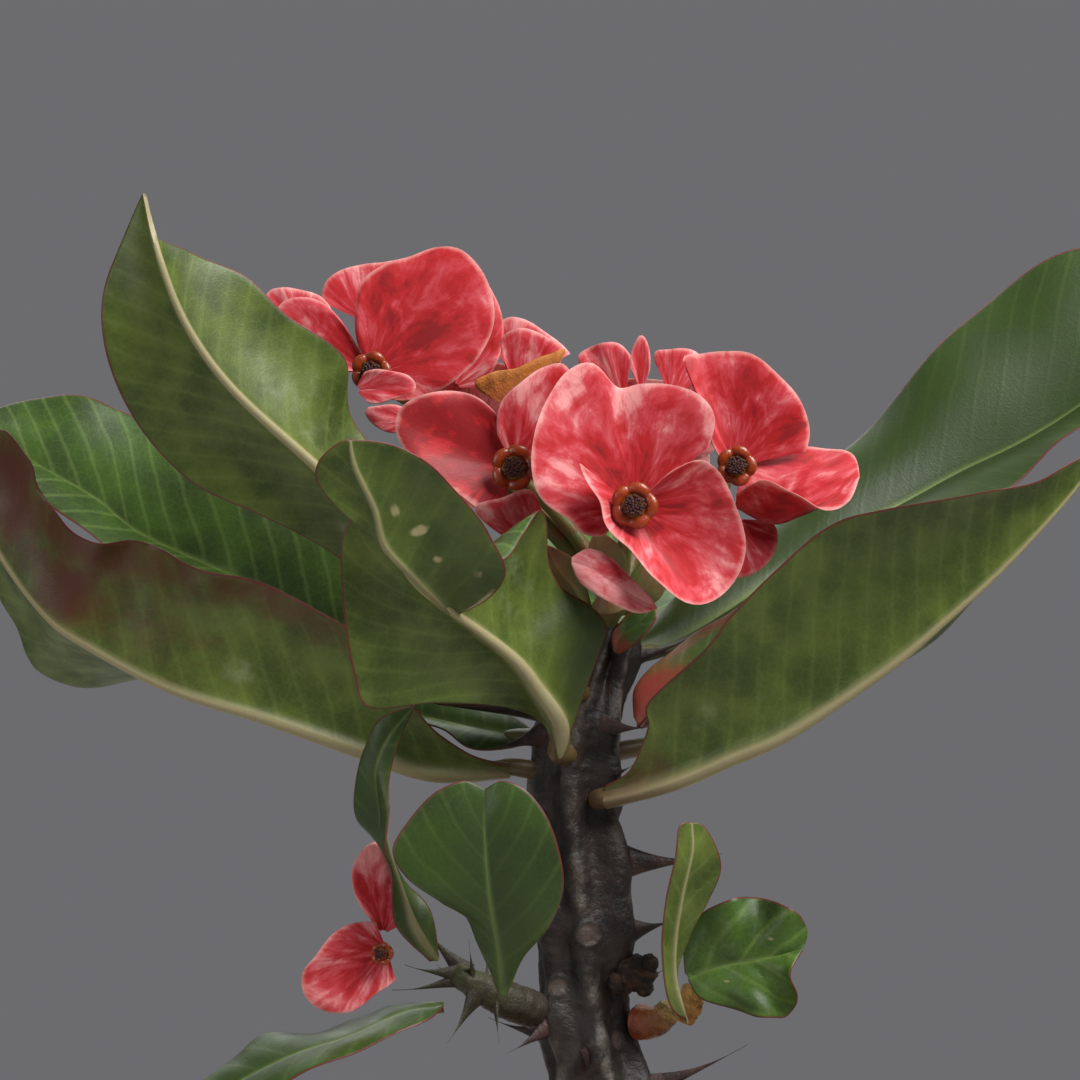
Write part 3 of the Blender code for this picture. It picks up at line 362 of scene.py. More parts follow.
@dataclass(frozen=True)
class LeafBlade:
    """Living leaf blade under a thin wax cuticle.

    The wax gives a satin, slightly patchy gloss; the underside is paler and greyer, the side veins show
    as pale lines, the rib is cream and the margin is a fine dark red line.
    """

    name: str = "leaf_blade"
    upper: str = "#415c1e"
    upper_deep: str = "#273a0f"
    under: str = "#5b682b"
    under_deep: str = "#344313"
    vein: str = "#849a52"
    rib_upper: str = "#7a8e4c"
    rib_under: str = "#a19570"
    margin: str = "#5e2224"
    flush: str = "#55261c"
    bloom: str = "#9fa98c"
    scar: str = "#9a9068"
    # The green of painted shade, laid where a blade lies in shadow.
    shade: str = "#2b3a18"
    roughness: float = 0.50
    wax_roughness: float = 0.38
    mottle_mm: float = 11.0
    cloud_mm: float = 26.0
    net_mm: float = 2.2          # the finest veins, drawn twice as coarse as they grow so that they show
    speckle_mm: float = 5.0      # the ragged outline of a mark
    grain_mm: float = 0.6
    vein_gap: float = 0.16       # half a side vein's width, as a share of the space between two
    ior: float = 1.38            # of the wax

    def recipe(self) -> bpy.types.Material:
        """Build the material.

        Returns:
            The finished material.
        """
        r = Recipe(self.name)
        place = r.add(Kind.PLACE)
        under = r.add(Kind.VALUE, attribute_name="under")
        # The ground: a deeper and a lighter green, greyer on the underside.
        mottle = r.add(Kind.NOISE, {"Vector": place, "Scale": per_metre(self.mottle_mm), "Detail": 4.0})
        mottle = r.add(Kind.RANGE, {"Value": mottle, "From Min": 0.25, "From Max": 0.75})
        cloud = r.add(Kind.NOISE, {"Vector": place, "Scale": per_metre(self.cloud_mm), "Detail": 2.0})
        top = r.add(Kind.MIX, {0: mottle, 6: linear(self.upper), 7: linear(self.upper_deep)})
        low = r.add(Kind.MIX, {0: mottle, 6: linear(self.under), 7: linear(self.under_deep)})
        colour = r.add(Kind.MIX, {0: under, 6: top, 7: low})
        # Side veins that waver, with a faint net between them and a darker valley beside each.
        wobble = r.add(Kind.MATH, {0: cloud, 1: 0.7}, operation="MULTIPLY")
        phase = r.add(Kind.VALUE, attribute_name="vein")
        phase = r.add(Kind.MATH, {0: phase, 1: wobble}, operation="ADD")
        saw = r.add(Kind.MATH, {0: phase, 1: 0.5}, operation="PINGPONG")
        vein = r.add(Kind.RANGE, {"Value": saw, "From Min": self.vein_gap, "From Max": 0.0})
        net = r.add(Kind.CELLS, {"Vector": place, "Scale": per_metre(self.net_mm)})
        net = r.add(Kind.RANGE, {"Value": net, "From Min": 0.10, "From Max": 0.0, "To Max": 0.07})
        seen = r.add(Kind.RANGE, {"Value": under, "To Min": 0.17, "To Max": 0.09})
        lines = r.add(Kind.MATH, {0: vein, 1: seen, 2: net}, operation="MULTIPLY_ADD")
        colour = r.add(Kind.MIX, {0: lines, 6: colour, 7: linear(self.vein)})
        valley = r.add(Kind.RANGE, {"Value": saw, "From Min": 0.2, "From Max": 0.5, "To Max": 0.12})
        colour = r.add(Kind.MIX, {0: valley, 6: colour, 7: linear(self.upper_deep)})
        # Painted shade where the blade lies in shadow, then the blade's own marks, each with a ragged
        # outline.
        painted_shade = r.add(Kind.VALUE, attribute_name="shade")
        colour = r.add(Kind.MIX, {0: painted_shade, 6: colour, 7: linear(self.shade)})
        speckle = r.add(Kind.NOISE, {"Vector": place, "Scale": per_metre(self.speckle_mm), "Detail": 5.0,
                                     "Roughness": 0.65})
        marks = {}
        for mark, shade, first, last, most in (
                ("flush", self.flush, 0.45, 1.25, 0.9), ("bloom", self.bloom, 0.70, 1.25, 0.6),
                ("scar", self.scar, 0.84, 1.20, 0.85)):
            seen = r.add(Kind.VALUE, attribute_name=mark)
            ragged = r.add(Kind.MATH, {0: speckle, 1: 0.8, 2: seen}, operation="MULTIPLY_ADD")
            ragged = r.add(Kind.RANGE, {"Value": ragged, "From Min": first, "From Max": last,
                                        "To Max": most})
            colour = r.add(Kind.MIX, {0: ragged, 6: colour, 7: linear(shade)})
            marks[mark] = ragged
        # The cream rib and the dark red margin.
        rib = r.add(Kind.VALUE, attribute_name="rib")
        faint = r.add(Kind.RANGE, {"Value": under, "To Min": 0.55, "To Max": 0.92})
        rib = r.add(Kind.MATH, {0: rib, 1: faint}, operation="MULTIPLY")
        ribs = r.add(Kind.MIX, {0: under, 6: linear(self.rib_upper), 7: linear(self.rib_under)})
        colour = r.add(Kind.MIX, {0: rib, 6: colour, 7: ribs})
        edge = r.add(Kind.VALUE, attribute_name="edge")
        edge = r.add(Kind.RANGE, {"Value": edge, "From Min": 0.45, "From Max": 0.10, "To Max": 0.85})
        colour = r.add(Kind.MIX, {0: edge, 6: colour, 7: linear(self.margin)})
        # Patchy wax, duller where it has turned to bloom, over a fine grain.
        rough = r.add(Kind.RANGE, {"Value": mottle, "To Min": self.wax_roughness, "To Max": self.roughness})
        rough = r.add(Kind.MATH, {0: marks["bloom"], 1: 0.25, 2: rough}, operation="MULTIPLY_ADD")
        grain = r.add(Kind.NOISE, {"Vector": place, "Scale": per_metre(self.grain_mm), "Detail": 2.0})
        relief = r.add(Kind.MATH, {0: grain, 1: 0.35, 2: lines}, operation="MULTIPLY_ADD")
        bump = r.add(Kind.BUMP, {"Strength": 0.30, "Distance": 0.0004, "Height": relief})
        return r.shade(Base_Color=colour, Roughness=rough, Normal=bump, IOR=self.ior,
                       Subsurface_Weight=0.08, Subsurface_Radius=(0.5, 1.0, 0.2), Subsurface_Scale=0.0012)


@dataclass(frozen=True)
class BractTissue:
    """Petal-like bract tissue: soft, water-filled cells with a velvet surface.

    It glows a little where light passes through, and its red sits in streaks that fan out from the
    cup, over pink that pales towards the rim.
    """

    name: str = "bract_tissue"
    pale: str = "#e08f8e"
    pink: str = "#bd3a43"
    coral: str = "#ab1219"
    crimson: str = "#84040b"
    vein: str = "#971c28"
    rim: str = "#e9aaa2"
    roughness: float = 0.48
    streak_mm: tuple[float, float] = (2.6, 9.0)     # a streak's width and length
    blotch_mm: tuple[float, float] = (7.0, 11.0)
    vein_mm: float = 1.5
    bend_mm: float = 6.0            # how soon a vein changes its way
    cell_mm: float = 0.35           # skin cells, drawn several times too coarse so that they show
    ior: float = 1.40

    def recipe(self) -> bpy.types.Material:
        """Build the material.

        Returns:
            The finished material.
        """
        r = Recipe(self.name)
        place = r.add(Kind.PLACE)
        round_mm = r.add(Kind.VALUE, attribute_name="round_mm")
        reach_mm = r.add(Kind.VALUE, attribute_name="reach_mm")
        seed = r.add(Kind.VALUE, attribute_name="seed")
        # Two sizes of streak that run out from the cup, each stretched along its ray.
        patterns = []
        for wide, long in (self.streak_mm, self.blotch_mm):
            across = r.add(Kind.MATH, {0: round_mm, 1: wide}, operation="DIVIDE")
            along = r.add(Kind.MATH, {0: reach_mm, 1: long}, operation="DIVIDE")
            spot = r.add(Kind.COMBINE, {0: across, 1: along, 2: seed})
            patterns.append(r.add(Kind.NOISE, {"Vector": spot, "Scale": 1.0, "Detail": 5.0, "Roughness": 0.6,
                                               "Distortion": 0.6}))
        red = r.add(Kind.VALUE, attribute_name="red")
        amount = r.add(Kind.MATH, {0: patterns[0], 1: 0.80, 2: red}, operation="MULTIPLY_ADD")
        amount = r.add(Kind.MATH, {0: patterns[1], 1: 1.45, 2: amount}, operation="MULTIPLY_ADD")
        amount = r.add(Kind.MATH, {0: amount, 1: 0.29}, operation="SUBTRACT")
        # Pale, then pink, coral and crimson, as the amount of red grows.
        colour = linear(self.pale)
        for shade, first, last in (
                (self.pink, 0.62, 0.98), (self.coral, 0.94, 1.16), (self.crimson, 1.14, 1.36)):
            share = r.add(Kind.RANGE, {"Value": amount, "From Min": first, "From Max": last})
            colour = r.add(Kind.MIX, {0: share, 6: colour, 7: linear(shade)})
        # Fine veins that fan out and waver, then the bleached rim.
        bend = r.add(Kind.NOISE, {"Vector": place, "Scale": per_metre(self.bend_mm), "Detail": 3.0})
        ray = r.add(Kind.MATH, {0: round_mm, 1: self.vein_mm}, operation="DIVIDE")
        ray = r.add(Kind.MATH, {0: bend, 1: 1.6, 2: ray}, operation="MULTIPLY_ADD")
        ray = r.add(Kind.MATH, {0: ray, 1: 0.5}, operation="PINGPONG")
        ray = r.add(Kind.RANGE, {"Value": ray, "From Min": 0.12, "From Max": 0.0, "To Max": 0.13})
        colour = r.add(Kind.MIX, {0: ray, 6: colour, 7: linear(self.vein)})
        rim = r.add(Kind.VALUE, attribute_name="edge")
        rim = r.add(Kind.MATH, {0: patterns[0], 1: 2.4, 2: rim}, operation="MULTIPLY_ADD")
        rim = r.add(Kind.RANGE, {"Value": rim, "From Min": 2.6, "From Max": 1.0, "To Max": 0.48})
        colour = r.add(Kind.MIX, {0: rim, 6: colour, 7: linear(self.rim)})
        cells = r.add(Kind.NOISE, {"Vector": place, "Scale": per_metre(self.cell_mm), "Detail": 1.0})
        relief = r.add(Kind.MATH, {0: cells, 1: 0.4, 2: ray}, operation="MULTIPLY_ADD")
        bump = r.add(Kind.BUMP, {"Strength": 0.22, "Distance": 0.0003, "Height": relief})
        rough = r.add(Kind.RANGE, {"Value": cells, "To Min": self.roughness,
                                   "To Max": self.roughness + 0.14})
        return r.shade(Base_Color=colour, Roughness=rough, Normal=bump, IOR=self.ior, Sheen_Weight=0.12,
                       Subsurface_Weight=0.22, Subsurface_Radius=(1.0, 0.30, 0.22),
                       Subsurface_Scale=0.0030)


@dataclass(frozen=True)
class Bark:
    """Old euphorbia skin: dark, dull corky bark over living green, pale silver on its ridges, partly worn
    bark and partly painted highlight.
    """

    name: str = "old_bark"
    dark: str = "#16110d"
    brown: str = "#2c211a"
    # The ridges' silver grey: partly worn corky bark and partly painted highlight.
    pale: str = "#7d7468"
    scar: str = "#51423a"
    thorn: str = "#1e1411"
    thorn_edge: str = "#47302a"
    roughness: float = 0.46
    patch_mm: float = 7.0
    crack_mm: float = 1.6
    ior: float = 1.45

    def recipe(self) -> bpy.types.Material:
        """Build the material.

        Returns:
            The finished material.
        """
        r = Recipe(self.name)
        place = r.add(Kind.PLACE)
        patch = r.add(Kind.NOISE, {"Vector": place, "Scale": per_metre(self.patch_mm), "Detail": 6.0,
                                   "Roughness": 0.62})
        fine = r.add(Kind.NOISE, {"Vector": place, "Scale": per_metre(self.crack_mm), "Detail": 4.0,
                                  "Roughness": 0.7})
        share = r.add(Kind.RANGE, {"Value": patch, "From Min": 0.40, "From Max": 0.66})
        colour = r.add(Kind.MIX, {0: share, 6: linear(self.dark), 7: linear(self.brown)})
        # Silvery grey on the ridges, partly worn corky bark and partly painted highlight, then leaf scars
        # and thorns.
        cork = r.add(Kind.VALUE, attribute_name="cork")
        ragged = r.add(Kind.MATH, {0: fine, 1: 0.7, 2: cork}, operation="MULTIPLY_ADD")
        ragged = r.add(Kind.RANGE, {"Value": ragged, "From Min": 0.48, "From Max": 1.15, "To Max": 0.75})
        colour = r.add(Kind.MIX, {0: ragged, 6: colour, 7: linear(self.pale)})
        scar = r.add(Kind.VALUE, attribute_name="scar")
        colour = r.add(Kind.MIX, {0: scar, 6: colour, 7: linear(self.scar)})
        thorn = r.add(Kind.VALUE, attribute_name="thorn")
        spine = r.add(Kind.MIX, {0: share, 6: linear(self.thorn), 7: linear(self.thorn_edge)})
        colour = r.add(Kind.MIX, {0: thorn, 6: colour, 7: spine})
        rough = r.add(Kind.RANGE, {"Value": fine, "To Min": self.roughness - 0.12,
                                   "To Max": self.roughness + 0.2})
        relief = r.add(Kind.MATH, {0: patch, 1: 1.4, 2: fine}, operation="MULTIPLY_ADD")
        bump = r.add(Kind.BUMP, {"Strength": 0.55, "Distance": 0.0007, "Height": relief})
        return r.shade(Base_Color=colour, Roughness=rough, Normal=bump, IOR=self.ior)


@dataclass(frozen=True)
class Tissue:
    """A smaller finish of two colours that change along a piece, with patches and a fine grain."""

    name: str
    root: str
    tip: str
    patch: str
    roughness: float
    patch_mm: float = 4.0
    grain_mm: float = 0.5
    relief: float = 0.3
    patchiness: float = 0.6
    coat: float = 0.0
    ior: float = 1.42
    glow: float = 0.0

    def recipe(self) -> bpy.types.Material:
        """Build the material.

        Returns:
            The finished material.
        """
        r = Recipe(self.name)
        place = r.add(Kind.PLACE)
        along = r.add(Kind.VALUE, attribute_name="along")
        colour = r.add(Kind.MIX, {0: along, 6: linear(self.root), 7: linear(self.tip)})
        patch = r.add(Kind.NOISE, {"Vector": place, "Scale": per_metre(self.patch_mm), "Detail": 5.0,
                                   "Roughness": 0.6})
        share = r.add(Kind.RANGE, {"Value": patch, "From Min": 0.42, "From Max": 0.68,
                                   "To Max": self.patchiness})
        colour = r.add(Kind.MIX, {0: share, 6: colour, 7: linear(self.patch)})
        grain = r.add(Kind.NOISE, {"Vector": place, "Scale": per_metre(self.grain_mm), "Detail": 3.0})
        rough = r.add(Kind.RANGE, {"Value": grain, "To Min": self.roughness - 0.06,
                                   "To Max": self.roughness + 0.10})
        height = r.add(Kind.MATH, {0: patch, 1: 1.0, 2: grain}, operation="MULTIPLY_ADD")
        bump = r.add(Kind.BUMP, {"Strength": self.relief, "Distance": 0.0005, "Height": height})
        return r.shade(Base_Color=colour, Roughness=rough, Normal=bump, IOR=self.ior, Coat_Weight=self.coat,
                       Coat_Roughness=0.15, Subsurface_Weight=self.glow, Subsurface_Scale=0.002)


@dataclass(frozen=True)
class Terracotta:
    """Fired earthenware clay, thrown and left unglazed.

    It is matt and sandy, with faint rings from throwing, darker where damp comes through the wall and
    with a chalky bloom of lime near the foot and the rim.
    """

    name: str = "terracotta"
    clay: str = "#b8694a"
    fired: str = "#a65b40"
    lime: str = "#d8c3ad"
    damp: str = "#7d4430"
    roughness: float = 0.86
    stain: float = 0.42             # the most that damp or lime hides the clay
    cloud_mm: float = 24.0
    sand_mm: float = 1.1            # coarse sand in the clay
    ior: float = 1.5

    def recipe(self) -> bpy.types.Material:
        """Build the material.

        Returns:
            The finished material.
        """
        r = Recipe(self.name)
        place = r.add(Kind.PLACE)
        cloud = r.add(Kind.NOISE, {"Vector": place, "Scale": per_metre(self.cloud_mm), "Detail": 5.0})
        sand = r.add(Kind.NOISE, {"Vector": place, "Scale": per_metre(self.sand_mm), "Detail": 3.0,
                                  "Roughness": 0.7})
        share = r.add(Kind.RANGE, {"Value": cloud, "From Min": 0.35, "From Max": 0.65})
        colour = r.add(Kind.MIX, {0: share, 6: linear(self.clay), 7: linear(self.fired)})
        for mark, shade, edge in (("damp", self.damp, 0.95), ("lime", self.lime, 1.05)):
            seen = r.add(Kind.VALUE, attribute_name=mark)
            ragged = r.add(Kind.MATH, {0: cloud, 1: 0.9, 2: seen}, operation="MULTIPLY_ADD")
            ragged = r.add(Kind.RANGE, {"Value": ragged, "From Min": edge - 0.35, "From Max": edge + 0.2,
                                        "To Max": self.stain})
            colour = r.add(Kind.MIX, {0: ragged, 6: colour, 7: linear(shade)})
        pores = r.add(Kind.RANGE, {"Value": sand, "From Min": 0.60, "From Max": 0.72, "To Max": 0.4})
        colour = r.add(Kind.MIX, {0: pores, 6: colour, 7: linear(self.fired)})
        rough = r.add(Kind.RANGE, {"Value": sand, "To Min": self.roughness - 0.08, "To Max": 0.95})
        bump = r.add(Kind.BUMP, {"Strength": 0.4, "Distance": 0.0005, "Height": sand})
        return r.shade(Base_Color=colour, Roughness=rough, Normal=bump, IOR=self.ior)


class Finish(Enum):
    """The finishes of the smaller pieces, each named for what the real one is."""

    # Damp composted bark and peat: almost black and quite matt.
    MIX = Tissue("composted_bark", "#33261b", "#33261b", "#1b130d", 0.92, patch_mm=3.0, relief=0.8)
    # Chips of pine bark: brown, layered and dry at their edges.
    CHIP = Tissue("pine_bark_chip", "#5a4030", "#7b5a42", "#2f2118", 0.85, patch_mm=2.5, relief=0.8)
    # Expanded perlite: white, foamy grains that catch dust.
    PERLITE = Tissue("perlite", "#d9d5cc", "#c9c3b5", "#9c9181", 0.8, patch_mm=1.5, relief=0.7,
                     patchiness=0.35)
    # Young skin of a side shoot: green under a thin brown cork that thickens to its foot.
    SHOOT = Tissue("young_skin", "#2e231b", "#3f4226", "#1f1713", 0.5, patch_mm=3.0, relief=0.6)
    # Flushed young skin: orange-red below, green above.
    FLUSHED = Tissue("flushed_skin", "#7e3314", "#54501f", "#451a10", 0.42, patch_mm=3.0, relief=0.6)
    # A dead shoot's heartwood: dry, golden and crumbling, dark where it has rotted.
    STUB = Tissue("dead_wood", "#a8763f", "#c79a58", "#3a2415", 0.85, patch_mm=2.2, relief=0.9)
    # A dried bud: charred-looking, wrinkled and dark.
    KNOB = Tissue("dried_bud", "#17110d", "#241811", "#5a3d27", 0.7, patch_mm=2.0, relief=0.9)
    # Flower stalks: smooth and waxy, green and flushed pink where they fork.
    STALK = Tissue("flower_stalk_skin", "#525c2a", "#7d8044", "#8a4534", 0.40, patch_mm=6.0, glow=0.08)
    # Small leaves below a flower: thin and olive, flushed pink at their rims.
    SCALE = Tissue("scale_leaf", "#5d7036", "#97684c", "#6c7440", 0.42, patch_mm=3.0, glow=0.10,
                   patchiness=0.4)
    # Nectar glands: fleshy, wet and orange-red, green at their foot.
    GLAND = Tissue("nectar_gland", "#5f4f16", "#8f350f", "#6f1d0b", 0.30, patch_mm=1.4, relief=0.25,
                   coat=0.35, glow=0.12)
    # Spent anthers: dark maroon grains on short red threads.
    ANTHER = Tissue("anther", "#a02a1c", "#2c100e", "#541c18", 0.6, patch_mm=0.6, relief=0.5)
    # A withered bract: dry, papery and ochre brown.
    WITHERED = Tissue("withered_bract", "#8c3f18", "#b5702a", "#5a2a10", 0.62, patch_mm=5.0, relief=0.5,
                      glow=0.10)
    # Young leaves: bright, thin and flushed pink inside.
    YOUNG = LeafBlade(name="young_leaf_blade", upper="#4c6a30", upper_deep="#385522", under="#71875a",
                      under_deep="#587044", vein="#93a26c", flush="#a2413c", margin="#8c3436")
    # Old leaves, bracts, the main stem and the pot; their classes say what each gives the eye.
    LEAF = LeafBlade()
    BRACT = BractTissue()
    BARK = Bark()
    CLAY = Terracotta()

    def make(self) -> bpy.types.Material:
        """Build this finish's material, or return the one that was built before."""
        return bpy.data.materials.get(self.value.name) or self.value.recipe()


@dataclass(frozen=True)
class Work:
    """A built form, with what it takes to dress it and the frame nodes that it stands for."""

    form: Form
    name: str
    finishes: tuple[Finish, ...]
    slot: str
    nodes: tuple[str, ...] = ()


class Assembly:
    """A sub-assembly, which builds its forms and then dresses each in its finishes."""

    def build(self) -> list[Work]:
        """Return the built forms, in order; each sub-assembly builds its own."""
        raise NotImplementedError

    def dress(self) -> None:
        """Build the forms, make each a finished piece and fit it on the plant."""
        for work in self.build():
            piece = work.form.finish(work.name, [finish.make() for finish in work.finishes])
            fit(piece, work.slot, *work.nodes)


# ---- sheets: leaf blades and bracts --------
class Mark(Enum):
    """What a mark on a leaf is."""

    FLUSH = "flush"     # red-brown, where sun has flushed the blade
    BLOOM = "bloom"     # a whitish film of wax and dried drops
    SCAR = "scar"       # tan corky scratches
    SHADE = "shade"     # painted shade: darker green where a blade lies in shadow


@dataclass(frozen=True)
class Spot:
    """One soft-edged mark: its place along and across the blade, its size and its strength."""

    mark: Mark
    along: float
    across: float
    length: float
    width: float
    strength: float = 1.0


def marks_at(spots: Sequence[Spot], along: np.ndarray, across: np.ndarray) -> dict[str, np.ndarray]:
    """Work out each mark's strength at points of a blade.

    Args:
        spots: The blade's marks.
        along: Each point's share of the blade's length.
        across: Its share of the half's width, negative on the near half.

    Returns:
        The strength for each kind of mark, by name.
    """
    found = {mark.value: np.zeros_like(along) for mark in Mark}
    for spot in spots:
        far = ((along - spot.along) / spot.length) ** 2 + ((across - spot.across) / spot.width) ** 2
        found[spot.mark.value] = np.maximum(found[spot.mark.value], spot.strength * np.exp(-far))
    return found


@dataclass(frozen=True)
class Blade:
    """One leaf, or a bract folded like one, from its rib and its near and far margins in mm."""

    name: str
    place: Triple
    rails: tuple[Guides, Guides, Guides]
    finish: Finish = Finish.LEAF
    slot: str = "leaf_green"
    stalk: float = 3.0
    curl: tuple[float, float] = (0.06, 0.06)    # how far each half bows out, as a share of its width
    wave: tuple[float, float] = (0.6, 26.0)     # the margin's ripple: its height and length in mm
    marks: tuple[Spot, ...] = ()
    foot: tuple[float, float] = (0.0, 0.0)      # the round leaf foot's radius and length in mm
    red: float = 0.1
    rows: int = 104
    halves: int = 20
    thickness: float = 0.9
    side_vein_gap: float = 7.5
    side_vein_slant: float = 0.75
    pucker: float = 0.10

    def grid(self) -> tuple[np.ndarray, dict[str, np.ndarray]]:
        """Lay the blade's middle surface through its rails.

        Returns:
            The surface in metres, as (rows, columns, 3), and the named values of its points.
        """
        share = np.linspace(0.0, 0.996, self.rows)
        rib, near, far = [smooth_curve(rail, share) for rail in self.rails]
        half = 0.5 - 0.5 * np.cos(pi * np.linspace(0, 1, self.halves + 1))
        across = np.concatenate([-half[::-1], half[1:]])
        margin = np.where(across[None, :, None] < 0, near[:, None], far[:, None])
        flat = rib[:, None] + (margin - rib[:, None]) * np.abs(across)[None, :, None]
        width = np.linalg.norm(margin - rib[:, None], axis=2)
        normals = sheet_normals(flat)
        steps = np.linalg.norm(np.diff(rib, axis=0), axis=1)
        along = np.concatenate([[0.0], np.cumsum(steps)])[:, None] + 0 * width
        size = np.abs(across)[None, :]
        bow = np.where(across < 0, self.curl[0], self.curl[1])[None, :] * width * np.sin(pi * size)
        height, length = self.wave
        seed = sum(map(ord, self.name)) % 7
        swell = np.sin(tau * along / length + np.where(across < 0, 0.0, 2.1)[None, :] + seed)
        ripple = height * size ** 2.5 * swell * np.clip(width / 14.0, 0, 1)
        phase = (along - self.side_vein_slant * size * width) / self.side_vein_gap
        phase = phase + np.where(across < 0, 0.5, 0.0)[None, :]
        quilt = self.pucker * np.cos(tau * phase) * np.sin(pi * size) * np.clip(width / 20.0, 0, 1)
        surface = flat + normals * (bow + ripple + quilt)[..., None]
        for _ in range(3):
            surface[:, 1:-1] = 0.25 * surface[:, :-2] + 0.5 * surface[:, 1:-1] + 0.25 * surface[:, 2:]
        surface[:, self.halves] = 0.4 * rib + 0.6 * surface[:, self.halves]
        values = {"along_mm": along, "width": width, "across": across[None, :] + 0 * width,
                  "share": share[:, None] + 0 * width, "vein": phase}
        return (surface + np.asarray(self.place, float)) * MM, values

    def rib_tone(self, share: np.ndarray) -> np.ndarray:
        """Return how pale the rib is along the blade: greener on small leaves and near the foot."""
        return min(0.92, 0.30 + 0.2 * self.stalk) * (0.45 + 0.55 * np.clip(share / 0.14, 0, 1))

    def build(self, form: Form) -> None:
        """Add the blade to a form as a closed shell with a raised rib below.

        Args:
            form: The form that gathers it.
        """
        surface, at = self.grid()
        size, width, share = np.abs(at["across"]), at["width"], at["share"]
        from_rib, from_edge = size * width, (1 - size) * width
        edge = np.clip(from_edge / 0.6, 0, 1)
        body = self.thickness * (1 - 0.35 * size) * np.sqrt(1 - (1 - edge) ** 2)
        body = np.maximum(body, 0.10)
        swell = (self.stalk - self.thickness) * np.clip(1 - share / 0.85, 0, 1) ** 1.6
        rib_height = swell + min(0.35, self.stalk * 0.2) * np.clip((1 - share) / 0.1, 0, 1)
        rib_width = (0.75 * rib_height + 0.50) * (1 - 0.45 * share)
        ridge = rib_height * np.exp(-(from_rib / rib_width) ** 2)
        vein_ridge = 0.10 * np.exp(-((at["vein"] - np.round(at["vein"])) / 0.10) ** 2) * np.sin(pi * size)
        above = (0.5 * body - 0.25 * ridge * (share > 0.02)) * MM
        below = (0.5 * body + ridge + vein_ridge * np.clip(width / 15.0, 0, 1)) * MM
        points, faces = shell(surface, above, below)
        values = {"vein": at["vein"], "edge": from_edge, "along": share, "red": self.red + 0 * share,
                  "rib": self.rib_tone(share) * np.exp(-(from_rib / (rib_width * 0.85)) ** 2),
                  "round_mm": at["across"] * width, "reach_mm": at["along_mm"],
                  **marks_at(self.marks, share, at["across"])}
        doubled = {key: np.tile(value.reshape(-1), 2) for key, value in values.items()}
        under = np.repeat([0.0, 1.0], share.size)
        form.add(points, faces, under=under, seed=float(len(self.name)), **doubled)
        if self.foot[1]:
            self.add_foot(form)

    def add_foot(self, form: Form) -> None:
        """Add the round leaf foot, which leaves the stem and thins out along the rib.

        Args:
            form: The form that gathers it.
        """
        radius, length = self.foot
        rib = smooth_curve(self.rails[0], np.linspace(0, 0.3, 60)) + np.asarray(self.place, float)
        rib = rib[np.linalg.norm(rib - rib[0], axis=1) < length]
        axis = np.array([STEM_MIDDLE, 0.0, rib[0, 2] - 2.5])
        away = rib[0] - axis
        start = axis + away * min(1.0, FOOT_START / np.linalg.norm(away))
        path = smooth_curve([start, 0.5 * (start + rib[0]), *rib[::6], rib[-1]], np.linspace(0, 1, 48))
        share = np.linspace(0, 1, len(path))
        round_start = np.sqrt(1 - (1 - np.clip(share / 0.08, 0, 1)) ** 2)
        radii = radius * (1 - share ** 2.2) ** 0.6 * round_start + 0.06
        points, faces, along = tube(path * MM, radii * MM, 28)
        form.add(points, faces, under=1.0, rib=0.12, edge=9.0, along=0.0, flush=0.75 * (1 - 0.7 * along))


@dataclass(frozen=True)
class Fan:
    """One bract that fans out round a flower's cup: rim points are (degrees, reach mm, lift mm)."""

    name: str
    place: Triple
    rim: Guides
    slot: str = "coral_bract"
    red: float = 0.1
    middle_red: float = 0.10
    turn: float = 0.0
    rise: float = 0.0
    inner: float = 1.5
    seat: float = 0.0
    cup: float = 1.5
    roll: float = -0.8          # how far the last fifth rolls back, in mm
    ruffle: float = 0.5
    rows: int = 84
    columns: int = 30
    thickness: float = 0.55
    streak_round: float = 18.0  # the radius in mm at which streaks have their true width
    back_paler: float = 0.14    # how much less red the back is than the front

    def build(self, form: Form) -> None:
        """Add the bract to a form as a closed shell with a thin rim.

        Args:
            form: The form that gathers it.
        """
        rim = smooth_curve(self.rim, np.linspace(0, 1, self.rows))
        right, up, outward = facing(self.turn, self.rise)
        angle = np.radians(rim[:, 0])[:, None]
        share = (np.linspace(0, 1, self.columns) ** 0.85)[None, :]
        reach, lift = rim[:, 1][:, None], rim[:, 2][:, None]
        spread = self.inner + (reach - self.inner) * share
        seed = sum(map(ord, self.name)) % 11
        height = self.seat + (lift - self.seat) * share ** self.cup
        height = height + self.roll * np.clip((share - 0.8) / 0.2, 0, 1) ** 2 * np.clip(reach / 20, 0, 1)
        size = np.clip(reach / 22, 0.3, 1)
        height = height + self.ruffle * size * share ** 3 * np.sin(angle * 5.0 + seed)
        height = height + 0.22 * size * share ** 2 * np.sin(angle * 13.0 + seed * 2 + 2.0 * share)
        way = right * np.cos(angle)[..., None] + up * np.sin(angle)[..., None]
        middle = (np.asarray(self.place, float) + way * spread[..., None] + outward * height[..., None]) * MM
        edge = (1 - share) * (reach - self.inner)
        body = self.thickness * (1 - 0.35 * share) * np.sqrt(1 - (1 - np.clip(edge / 0.4, 0, 1)) ** 2)
        body = np.maximum(body, 0.09) * MM / 2
        points, faces = shell(middle, body, body)
        front = 1.0 if rim[-1, 0] < rim[0, 0] else -1.0
        back = np.repeat([0.0, 1.0] if front > 0 else [1.0, 0.0], edge.size)
        values = {"edge": edge, "round_mm": angle * self.streak_round, "reach_mm": spread, "along": share}
        doubled = {key: np.tile(np.broadcast_to(value, edge.shape).reshape(-1), 2)
                   for key, value in values.items()}
        red = self.red - self.back_paler * back + self.middle_red * (1 - doubled["along"])
        form.add(points, faces, seed=float(seed), under=back, red=red, **doubled)


